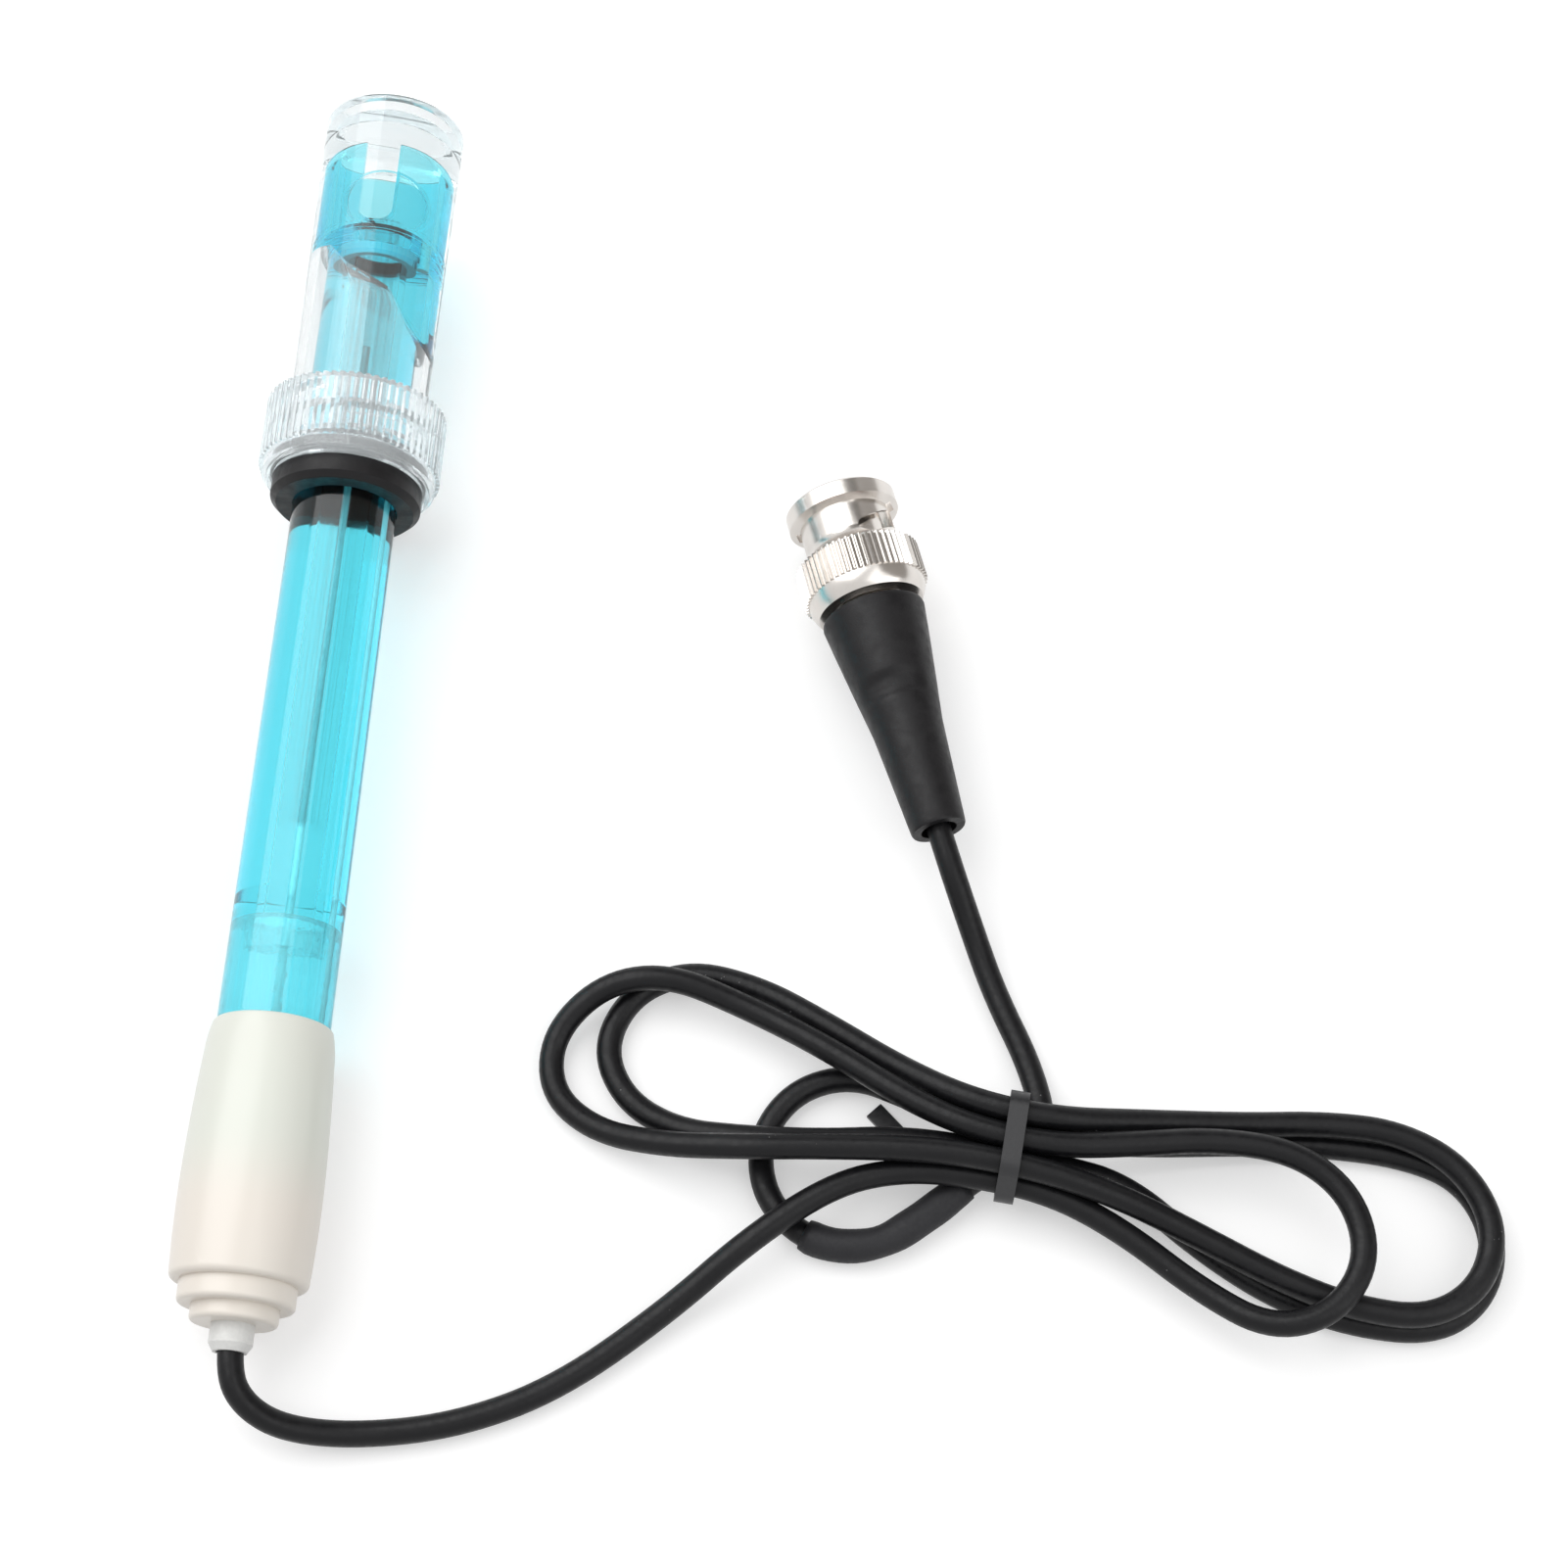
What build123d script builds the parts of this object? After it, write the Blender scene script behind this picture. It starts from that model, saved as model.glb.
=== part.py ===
from build123d import *
from math import atan2, cos, degrees, pi, radians, sin, tan
import os

# pH electrode lying on its side: sensing end in its storage bottle, cable in a tied hank, bayonet plug.
# Millimetres. +Y runs along the electrode towards the bottle, +Z up, and the origin is on the surface
# under the middle of the electrode. Stations are distances along the electrode from the cap's nozzle.

# Overall
overall_length = 145.6
stem_diameter = 12.0
stem_tip_diameter = 11.4
bond_gap = 0.03
sliding_gap = 0.06

# Cream cap
cap_start = 2.8
cap_length = 31.2
cap_diameter = 14.6
cap_belly_station = 12.0
cap_waist_diameter = 14.1
cap_waist_station = 26.0
cap_shoulder_diameter = 13.5
cap_shoulder_length = 3.2
cap_lip_diameter = 12.9
cap_lip_round = 0.6
cap_step_diameters = [9.0, 12.0]
cap_step_stations = [4.5, 6.8]
cap_step_round = 0.5
cap_rim_diameter = 14.2
cap_rim_round = 0.7
cap_end_wall = 5.2
cap_bore_diameter = 11.0
socket_depth = 18.0

# Bush in the cap's nozzle
bush_diameter = 4.5
bush_length = 6.6
bush_nose_diameter = 3.5
bush_nose_length = 0.8

# Potting resin
potting_length = 6.0
potting_gap = 0.05

# Body tube, its fine rings, end wall and guard fingers
body_wall = 1.05
sensing_end_length = 19.6
end_wall_station = overall_length - sensing_end_length
end_wall_thickness = 3.4
ring_count = 4
ring_pitch = 0.9
ring_height = 0.28
ring_width = 0.45
ring_offset = 0.4
ring_station = end_wall_station + ring_offset
finger_length = 10.7
finger_wall = 1.2
finger_round = 0.5
slot_count = 4
slot_width = 3.6

# Glass stem, bulb and what is in it
glass_diameter = 5.2
glass_wall = 0.7
glass_start = 42.0
bulb_diameter = 8.0
bulb_wall = 0.45
bulb_gap_to_fingertips = 1.6
buffer_start_gap = 14.0
wire_diameter = 0.6
coated_wire_diameter = 0.95
coated_wire_length = 8.0
inner_wire_to_end_wall = 3.0
inner_wire_end = end_wall_station - inner_wire_to_end_wall
lead_offset = 0.5
reference_lead_offset = 0.95
lead_straight = 5.6
lead_spread = 6.0
reference_wire_radius = 3.75
reference_wire_to_end_wall = 16.0
reference_wire_end = end_wall_station - reference_wire_to_end_wall
lead_bend = 2.0

# Gel, seals and junction
seal_length = 12.0
seal_cup = 3.0
seal_start = 30.0
gel_end_gap = 0.4
gel_start_gap = 3.0
tip_seal_length = 1.6
tip_seal_wall = 0.8
junction_diameter = 1.1
junction_radius = 4.05

# Storage bottle
bottle_length = 45.0
bottle_mouth = overall_length - bottle_length
bottle_neck_room = 0.9
bottle_neck_wall = 1.0
bottle_end_room = 1.25
bottle_end_wall = 1.2
bottle_bore_mouth = stem_tip_diameter + 2 * bottle_neck_room
bottle_bore_end = stem_tip_diameter + 2 * bottle_end_room
bottle_neck_diameter = bottle_bore_mouth + 2 * bottle_neck_wall
bottle_end_diameter = bottle_bore_end + 2 * bottle_end_wall
bottle_base = 3.4
bottle_base_dish = 0.9
bottle_rim_width = 2.6
bottle_rim_depth = 0.8
bottle_edge_round = 0.6
thread_pitch = 3.2
thread_turns = 1.5
thread_height = 0.95
thread_root = 1.3
thread_crest = 0.55
thread_start = 1.1

# Storage solution: its free surface runs slantwise across the bottle
solution_gap = 0.08
solution_surface_shares = [
    (-1.0, 0.43),
    (-0.62, 0.395),
    (-0.32, 0.30),
    (0.05, 0.245),
    (0.42, 0.20),
    (0.7, 0.08),
    (1.0, 0.0),
]
solution_headspace = 13.9
solution_surface_low = bottle_mouth + solution_headspace
solution_surface_rise = 29.0

# Nut
nut_overhang = 2.9
nut_start = bottle_mouth - nut_overhang
nut_length = 9.4
nut_rim_length = 1.7
nut_thread_room = 1.15
nut_wall = 1.45
nut_rim_inset = 0.5
nut_rear_inset = 0.25
nut_bore = bottle_neck_diameter + 2 * nut_thread_room
nut_rear_bore = nut_bore - 2 * nut_rear_inset
nut_diameter = nut_bore + 2 * nut_wall
nut_rim_diameter = nut_diameter - 2 * nut_rim_inset
nut_rib_count = 66
nut_rib_height = 0.42
nut_rib_crest_share = 0.4
nut_thread_height = 0.95
nut_thread_turns = 0.95
nut_edge = 0.5
gasket_groove_width = 1.3
gasket_groove_depth = 0.35

# Gasket
gasket_overhang = 5.6
gasket_start = bottle_mouth - gasket_overhang
gasket_lip = 0.7

# Cable
cord_diameter = 2.7
floor_gap = 0.05
sleeve_diameter = 3.6
bend_share = 0.45
cap_end_inside = 2.6
cap_end_outside = 1.8
plug_end_inside = 5.0
plug_end_outside = 3.0

# Twist tie
tie_x = 77.6
tie_y = -46.3
tie_turn = 6.5
tie_width = 2.0
tie_thickness = 0.6
tie_gap = 0.1
tie_tail = [(0, -0.3), (-7.4, 0.0), (-11.0, 1.7), (-14.4, 5.0)]
layer_step = 2.4

# Bayonet plug, distances from its front face
plug_x = 55.5
plug_y = 28.0
plug_turn = 18.3
flange_diameter = 12.7
flange_length = 2.1
neck_diameter = 10.5
knurl_diameter = 14.2
knurl_length = 4.1
knurl_count = 60
knurl_height = 0.35
knurl_crest_share = 0.2
knurl_ledge = 0.5
sleeve_end_diameter = 12.0
socket_bore = 9.75
socket_depth_plug = 8.6
socket_floor_gap = 0.4
body_flange_diameter = 10.9
body_flange_length = 0.8
washer_room = 1.8
rear_cavity_diameter = 11.2
rear_lip_length = 1.2
sleeve_tail = 1.0
knurl_to_sleeve_end = 6.1
body_flange_start = socket_depth_plug + socket_floor_gap
rear_lip_start = body_flange_start + body_flange_length + washer_room
sleeve_end = rear_lip_start + rear_lip_length + sleeve_tail
knurl_start = sleeve_end - knurl_to_sleeve_end
ramp_width = 2.15
ramp_length = 7.0
ramp_slant = 20.0
ramp_station = 4.97
ramp_angle = 44.3
entry_depth = 4.4
entry_reach = 1.6
entry_turn = 30.0

shank_diameter = 8.0
shank_bore_tail = 1.4
shank_collar = 1.2
shank_bore_end = sleeve_end + shank_bore_tail
shank_end = shank_bore_end + shank_collar
contact_diameter = 8.1
contact_wall = 0.4
contact_front = 1.5
contact_slot_count = 4
contact_slot_width = 0.5
contact_slot_length = 5.2
crimp_stub_diameter = 5.2
crimp_stub_wall = 0.8
crimp_stub_length = 9.6
crimp_stub_end = shank_end + crimp_stub_length
insulator_diameter = 6.4
insulator_nose_diameter = 4.8
insulator_front = 3.4
pin_diameter = 1.37
pin_front = 1.9
pin_tip = 0.6
pin_inset = 2.0
pin_rear = crimp_stub_end - pin_inset
pin_collar_diameter = 2.2
plug_gasket_length = 0.9
washer_thickness = 0.3
thrust_thickness = 0.4
retaining_thickness = 0.6
ferrule_diameter = 6.4
ferrule_gap = 0.6
ferrule_start = shank_end + ferrule_gap

boot_gap = 0.8
boot_length = 26.9
boot_start = sleeve_end + boot_gap
boot_end = boot_start + boot_length
boot_diameter = 11.7
boot_waist_diameter = 7.9
boot_waist_reach = 14.4
boot_waist_station = boot_start + boot_waist_reach
boot_end_diameter = 6.1
boot_recess = 1.4
boot_recess_diameter = 4.0
boot_dimple_reach = 10.4
boot_dimple_station = boot_start + boot_dimple_reach
boot_dimple_length = 2.4
boot_dimple_width = 5.4
boot_dimple_depth = 0.45
boot_dimple_round = 0.4

overrun = 1.0

# The electrode rests on the nut's ribs and on the cap's belly, so its axis leans a little.
nut_rest_station = nut_start + nut_length / 2
rest_drop = (nut_diameter - cap_diameter) / 2
rest_span = nut_rest_station - cap_belly_station
tilt = degrees(atan2(rest_drop, rest_span))
axis_height = cap_diameter / 2 / cos(radians(tilt)) - cap_belly_station * tan(radians(tilt))
axis_start = (0, -overall_length / 2, axis_height)
along = (0, cos(radians(tilt)), sin(radians(tilt)))
section = Plane(origin=axis_start, x_dir=(1, 0, 0), z_dir=(0, -along[2], along[1]))
electrode_axis = Axis(axis_start, along)

plug_height = knurl_diameter / 2
plug_front = (plug_x, plug_y, plug_height)
plug_side = (cos(radians(plug_turn)), sin(radians(plug_turn)), 0)
plug_along = (sin(radians(plug_turn)), -cos(radians(plug_turn)), 0)
plug_section = Plane(origin=plug_front, x_dir=plug_side, z_dir=(0, 0, -1))
plug_axis = Axis(plug_front, plug_along)

cap_end = cap_start + cap_length
body_start = cap_end - socket_depth
body_tip = end_wall_station + end_wall_thickness + finger_length
bulb_station = body_tip - bulb_gap_to_fingertips - bulb_diameter / 2
nut_end = nut_start + nut_length
gasket_end = bottle_mouth


def on_axis(station, radius=0):
    """A point of the electrode, beside or on its axis."""
    return section.from_local_coords(Vector(radius, station, 0))


def across(station):
    """The plane square to the electrode at a station."""
    return Plane(origin=on_axis(station), x_dir=(1, 0, 0), z_dir=along)


def on_plug_axis(distance, radius=0):
    """A point of the plug, beside or on its axis."""
    return plug_section.from_local_coords(Vector(radius, distance, 0))


def across_plug(distance):
    """The plane square to the plug at a distance from its front face."""
    return Plane(origin=on_plug_axis(distance), x_dir=plug_side, z_dir=plug_along)


def plug_spoke(turn):
    """The direction that leaves the plug's axis at an angle from its side."""
    side = Vector(plug_side)
    rise = Vector(plug_along).cross(side)
    return side * cos(radians(turn)) + rise * sin(radians(turn))


def stem_radius(station):
    """The body's moulding draft makes it a little slimmer towards the tip."""
    share = (station - body_start) / (body_tip - body_start)
    return (stem_diameter + (stem_tip_diameter - stem_diameter) * share) / 2


def bottle_radius(station):
    """The bottle's outside grows towards its closed end."""
    share = (station - bottle_mouth) / (overall_length - bottle_mouth)
    return (bottle_neck_diameter + (bottle_end_diameter - bottle_neck_diameter) * share) / 2


def bottle_bore_radius(station):
    """The bottle's bore grows towards its closed end too."""
    share = (station - bottle_mouth) / (overall_length - bottle_mouth)
    return (bottle_bore_mouth + (bottle_bore_end - bottle_bore_mouth) * share) / 2


def ribbed_points(count, crest_radius, root_radius, crest_share):
    """Corners of a ribbed round outline, four to a rib."""
    pitch = 2 * pi / count
    points = []
    for index in range(count):
        start = index * pitch
        rise = pitch * (1 - crest_share) / 2
        for angle, radius in (
            (start, crest_radius),
            (start + pitch * crest_share, crest_radius),
            (start + pitch * crest_share + rise, root_radius),
            (start + pitch - rise / 2, root_radius),
        ):
            points.append((radius * cos(angle), radius * sin(angle)))
    return points


def bend_radii(points):
    """One radius for each corner of a route: as large as its two runs allow."""
    radii = []
    for before, corner, after in zip(points, points[1:], points[2:]):
        arriving = Vector(corner) - Vector(before)
        leaving = Vector(after) - Vector(corner)
        half_turn = radians(arriving.get_angle(leaving)) / 2
        radii.append(bend_share * min(arriving.length, leaving.length) / tan(half_turn))
    return radii


os.makedirs("parts", exist_ok=True)

# Body: transparent blue tube, closed by the end wall, with the fine rings and the guard fingers beyond it
with BuildPart() as electrode_body:
    with BuildSketch(section):
        with BuildLine():
            inner_start = stem_radius(body_start) - body_wall
            inner_end = stem_radius(end_wall_station) - body_wall
            Polyline(
                (inner_start, body_start),
                (stem_radius(body_start), body_start),
                (stem_radius(body_tip), body_tip),
                (stem_radius(body_tip) - finger_wall, body_tip),
                (stem_radius(body_tip) - finger_wall, end_wall_station + end_wall_thickness),
                (glass_diameter / 2 + bond_gap, end_wall_station + end_wall_thickness),
                (glass_diameter / 2 + bond_gap, end_wall_station + tip_seal_length),
                (glass_diameter / 2 + tip_seal_wall, end_wall_station + tip_seal_length),
                (glass_diameter / 2 + tip_seal_wall, end_wall_station),
                (inner_end, end_wall_station),
                close=True,
            )
        make_face()
    revolve(axis=electrode_axis)
    fingertip_edges = electrode_body.edges().filter_by(GeomType.CIRCLE).sort_by(electrode_axis)[-2:]
    fillet(fingertip_edges, finger_round)
    for index in range(ring_count):
        ring_place = ring_station + index * ring_pitch
        with BuildSketch(section):
            with BuildLine():
                ring_root = stem_radius(ring_place) - ring_height
                Polyline(
                    (ring_root, ring_place),
                    (stem_radius(ring_place) + ring_height / 2, ring_place + ring_width / 4),
                    (stem_radius(ring_place) + ring_height / 2, ring_place + ring_width * 3 / 4),
                    (ring_root, ring_place + ring_width),
                    close=True,
                )
            make_face()
        revolve(axis=electrode_axis)
    slot_floor = end_wall_station + end_wall_thickness
    slot_reach = body_tip - slot_floor + overrun
    for index in range(slot_count):
        slot_plane = section.rotated((0, index * 360 / slot_count, 0))
        with BuildSketch(slot_plane):
            with Locations((0, slot_floor + slot_width / 2 + slot_reach / 2)):
                Rectangle(slot_width, slot_reach)
            with Locations((0, slot_floor + slot_width / 2)):
                Circle(slot_width / 2)
        extrude(amount=stem_diameter, mode=Mode.SUBTRACT)
    with BuildSketch(across(end_wall_station)):
        with Locations((junction_radius, 0)):
            Circle(junction_diameter / 2)
    extrude(amount=end_wall_thickness, mode=Mode.SUBTRACT)
electrode_body.part.label = "electrode_body"

# Junction: porous pin through the end wall
with BuildPart() as ceramic_junction:
    with BuildSketch(across(end_wall_station)):
        with Locations((junction_radius, 0)):
            Circle(junction_diameter / 2)
    extrude(amount=end_wall_thickness)
ceramic_junction.part.label = "ceramic_junction"

# Tip seal: ring round the glass stem, let into the end wall
with BuildPart() as tip_seal:
    with BuildSketch(across(end_wall_station)):
        Circle(glass_diameter / 2 + tip_seal_wall)
        Circle(glass_diameter / 2, mode=Mode.SUBTRACT)
    extrude(amount=tip_seal_length)
tip_seal.part.label = "tip_seal"

# Glass stem: thin tube that ends in the hollow bulb
bulb_outer = bulb_diameter / 2
bulb_inner = bulb_outer - bulb_wall
tube_outer = glass_diameter / 2
tube_inner = tube_outer - glass_wall
bulb_tip = bulb_station + bulb_outer
bulb_inner_tip = bulb_tip - bulb_wall
outer_shoulder = bulb_station - (bulb_outer**2 - tube_outer**2) ** 0.5
inner_shoulder = bulb_station - (bulb_inner**2 - tube_inner**2) ** 0.5
with BuildPart() as glass_stem:
    with BuildSketch(section):
        with BuildLine():
            Line((tube_inner, glass_start), (tube_outer, glass_start))
            Line((tube_outer, glass_start), (tube_outer, outer_shoulder))
            ThreePointArc((tube_outer, outer_shoulder), (bulb_outer, bulb_station), (0, bulb_tip))
            Line((0, bulb_tip), (0, bulb_inner_tip))
            ThreePointArc((0, bulb_inner_tip), (bulb_inner, bulb_station), (tube_inner, inner_shoulder))
            Line((tube_inner, inner_shoulder), (tube_inner, glass_start))
        make_face()
    revolve(axis=electrode_axis)
glass_stem.part.label = "glass_stem"

# Inner wire: the cable's core, bent onto the axis, with a coated end in the glass stem
lead_start = cap_end_inside
spread_start = lead_start + lead_straight
spread_end = spread_start + lead_spread
with BuildPart() as inner_wire:
    with BuildLine() as core_route:
        FilletPolyline(
            on_axis(lead_start, -lead_offset),
            on_axis(spread_start, -lead_offset),
            on_axis(spread_end),
            on_axis(inner_wire_end - coated_wire_length + overrun),
            radius=lead_bend,
        )
    with BuildSketch(across(lead_start)):
        with Locations((-lead_offset, 0)):
            Circle(wire_diameter / 2)
    sweep(path=core_route.wires()[0])
    with BuildSketch(across(inner_wire_end - coated_wire_length)):
        Circle(coated_wire_diameter / 2)
    extrude(amount=coated_wire_length)
inner_wire.part.label = "inner_wire"

# Reference wire: the cable's screen, led out beside the glass stem
with BuildPart() as reference_wire:
    with BuildLine() as screen_route:
        FilletPolyline(
            on_axis(lead_start, reference_lead_offset),
            on_axis(spread_start, reference_lead_offset),
            on_axis(spread_end, reference_wire_radius),
            on_axis(reference_wire_end, reference_wire_radius),
            radius=lead_bend,
        )
    with BuildSketch(across(lead_start)):
        with Locations((reference_lead_offset, 0)):
            Circle(wire_diameter / 2)
    sweep(path=screen_route.wires()[0])
reference_wire.part.label = "reference_wire"

# Inner buffer: the liquid in the bulb and the glass stem
with BuildPart() as inner_buffer:
    with BuildSketch(section):
        with BuildLine():
            buffer_start = glass_start + buffer_start_gap
            Line((0, buffer_start), (tube_inner, buffer_start))
            Line((tube_inner, buffer_start), (tube_inner, inner_shoulder))
            ThreePointArc((tube_inner, inner_shoulder), (bulb_inner, bulb_station), (0, bulb_inner_tip))
            Line((0, bulb_inner_tip), (0, buffer_start))
        make_face()
    revolve(axis=electrode_axis)
    add(inner_wire.part, mode=Mode.SUBTRACT)
inner_buffer.part.label = "inner_buffer"

# Upper seal: stopper that closes the body and holds the glass stem
with BuildPart() as upper_seal:
    with BuildSketch(section):
        with BuildLine():
            seal_end = seal_start + seal_length
            Polyline(
                (wire_diameter / 2, seal_start),
                (stem_radius(seal_start) - body_wall, seal_start),
                (stem_radius(seal_end + seal_cup) - body_wall, seal_end + seal_cup),
                (tube_outer, seal_end + seal_cup),
                (tube_outer, seal_end),
                (wire_diameter / 2, seal_end),
                close=True,
            )
        make_face()
    revolve(axis=electrode_axis)
    add(reference_wire.part, mode=Mode.SUBTRACT)
upper_seal.part.label = "upper_seal"

# Reference gel: fills the body round the glass stem
with BuildPart() as reference_gel:
    with BuildSketch(section):
        with BuildLine():
            gel_start = seal_end + seal_cup + gel_start_gap
            gel_end = end_wall_station - gel_end_gap
            Polyline(
                (tube_outer, gel_start),
                (stem_radius(gel_start) - body_wall, gel_start),
                (stem_radius(gel_end) - body_wall, gel_end),
                (tube_outer, gel_end),
                close=True,
            )
        make_face()
    revolve(axis=electrode_axis)
    add(reference_wire.part, mode=Mode.SUBTRACT)
reference_gel.part.label = "reference_gel"

# Cream cap: swollen grip with a stepped, rounded end
with BuildPart() as cable_cap:
    with BuildSketch(section):
        with BuildLine():
            hole = bush_diameter / 2
            low, middle = cap_step_stations
            low_radius, middle_radius = [size / 2 for size in cap_step_diameters]
            rim = cap_rim_diameter / 2
            outwards = (1, 0)
            crown = Line((hole, cap_start), (low_radius - cap_step_round, cap_start))
            low_round = TangentArc(crown @ 1, (low_radius, cap_start + cap_step_round), tangent=outwards)
            low_side = Line(low_round @ 1, (low_radius, low))
            ledge = Line(low_side @ 1, (middle_radius - cap_step_round, low))
            step_round = TangentArc(ledge @ 1, (middle_radius, low + cap_step_round), tangent=outwards)
            step_side = Line(step_round @ 1, (middle_radius, middle))
            rim_face = Line(step_side @ 1, (rim - cap_rim_round, middle))
            rim_round = TangentArc(rim_face @ 1, (rim, middle + cap_rim_round), tangent=outwards)
            side = Spline(
                rim_round @ 1,
                (cap_diameter / 2, cap_belly_station),
                (cap_waist_diameter / 2, cap_waist_station),
                (cap_shoulder_diameter / 2, cap_end - cap_shoulder_length),
            )
            shoulder = ThreePointArc(
                side @ 1,
                ((cap_shoulder_diameter + cap_lip_diameter) / 4, cap_end - cap_shoulder_length / 2),
                (cap_lip_diameter / 2 - cap_lip_round / 4, cap_end - cap_lip_round / 4),
            )
            Polyline(
                shoulder @ 1,
                (cap_lip_diameter / 2 - cap_lip_round / 2, cap_end),
                (stem_radius(cap_end) + bond_gap, cap_end),
                (stem_radius(body_start) + bond_gap, body_start),
                (cap_bore_diameter / 2, body_start),
                (cap_bore_diameter / 2, cap_start + cap_end_wall),
                (hole, cap_start + cap_end_wall),
                crown @ 0,
            )
        make_face()
    revolve(axis=electrode_axis)
cable_cap.part.label = "cable_cap"

# Cable bush: white sleeve in the cap's nozzle
cord_radius = cord_diameter / 2
with BuildPart() as cable_bush:
    with BuildSketch(section):
        with BuildLine():
            Polyline(
                (cord_radius + bond_gap, 0),
                (bush_nose_diameter / 2, 0),
                (bush_diameter / 2, bush_nose_length),
                (bush_diameter / 2, bush_length),
                (cord_radius + bond_gap, bush_length),
                close=True,
            )
        make_face()
    revolve(axis=electrode_axis)
cable_bush.part.label = "cable_bush"

# Potting: resin round the leads, behind the cap's end wall
with BuildPart() as cap_potting:
    with BuildSketch(across(cap_start + cap_end_wall)):
        Circle(cap_bore_diameter / 2 - potting_gap)
    extrude(amount=potting_length)
    add(inner_wire.part, mode=Mode.SUBTRACT)
    add(reference_wire.part, mode=Mode.SUBTRACT)
cap_potting.part.label = "cap_potting"

# Bottle: clear, flared, with a thick base, a rim ring and a coarse thread at its mouth
with BuildPart() as bottle:
    with BuildSketch(section):
        with BuildLine():
            base_inside = overall_length - bottle_base
            rim_inside = bottle_radius(overall_length) - bottle_rim_width
            mouth_line = Line(
                (bottle_bore_radius(bottle_mouth), bottle_mouth),
                (bottle_radius(bottle_mouth), bottle_mouth),
            )
            outside = Line(
                mouth_line @ 1,
                (bottle_radius(overall_length), overall_length - bottle_edge_round),
            )
            corner = ThreePointArc(
                outside @ 1,
                (
                    bottle_radius(overall_length) - bottle_edge_round * (1 - cos(pi / 4)),
                    overall_length - bottle_edge_round * (1 - sin(pi / 4)),
                ),
                (bottle_radius(overall_length) - bottle_edge_round, overall_length),
            )
            rim = Line(corner @ 1, (rim_inside, overall_length))
            recess = Line(rim @ 1, (rim_inside - bottle_rim_depth, overall_length - bottle_rim_depth))
            floor_out = Line(recess @ 1, (0, overall_length - bottle_rim_depth))
            through = Line(floor_out @ 1, (0, base_inside + bottle_base_dish))
            dish = ThreePointArc(
                through @ 1,
                (
                    bottle_bore_radius(base_inside) * cos(pi / 3),
                    base_inside + bottle_base_dish * sin(pi / 3) ** 2,
                ),
                (bottle_bore_radius(base_inside), base_inside),
            )
            Line(dish @ 1, mouth_line @ 0)
        make_face()
    revolve(axis=electrode_axis)
    thread_foot = on_axis(bottle_mouth + thread_start)
    thread_base_radius = bottle_radius(bottle_mouth) - bond_gap
    with BuildLine() as thread_path:
        Helix(
            pitch=thread_pitch,
            height=thread_pitch * thread_turns,
            radius=thread_base_radius,
            center=thread_foot,
            direction=along,
        )
    thread_lead = thread_path.line @ 0
    thread_out = (thread_lead - thread_foot).normalized()
    thread_plane = Plane(origin=thread_lead, x_dir=thread_out, z_dir=thread_path.line % 0)
    with BuildSketch(thread_plane):
        with BuildLine():
            Polyline(
                (0, -thread_root / 2),
                (thread_height, -thread_crest / 2),
                (thread_height, thread_crest / 2),
                (0, thread_root / 2),
                close=True,
            )
        make_face()
    sweep(path=thread_path.line, is_frenet=True)
bottle.part.label = "bottle"

# Storage solution: liquid between bottle and body, cut by its own free surface
liquid_end = overall_length - bottle_base
with BuildPart() as storage_solution:
    with BuildSketch(section):
        with BuildLine():
            cavity = stem_radius(ring_station) + ring_height + solution_gap
            Polyline(
                (cavity, solution_surface_low),
                (bottle_bore_radius(solution_surface_low) - solution_gap, solution_surface_low),
                (bottle_bore_radius(liquid_end) - solution_gap, liquid_end - solution_gap),
                (0, liquid_end - solution_gap),
                (0, body_tip + solution_gap),
                (cavity, body_tip + solution_gap),
                close=True,
            )
        make_face()
    revolve(axis=electrode_axis)
    with BuildSketch(section):
        with BuildLine():
            reach = bottle_end_diameter / 2 + overrun
            wave = [
                (reach * side, solution_surface_low + solution_surface_rise * rise)
                for side, rise in solution_surface_shares
            ]
            surface = Spline(*wave)
            Polyline(
                surface @ 1,
                (reach, solution_surface_low - overrun),
                (-reach, solution_surface_low - overrun),
                surface @ 0,
            )
        make_face()
    extrude(amount=bottle_end_diameter, both=True, mode=Mode.SUBTRACT)
storage_solution.part.label = "storage_solution"

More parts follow.
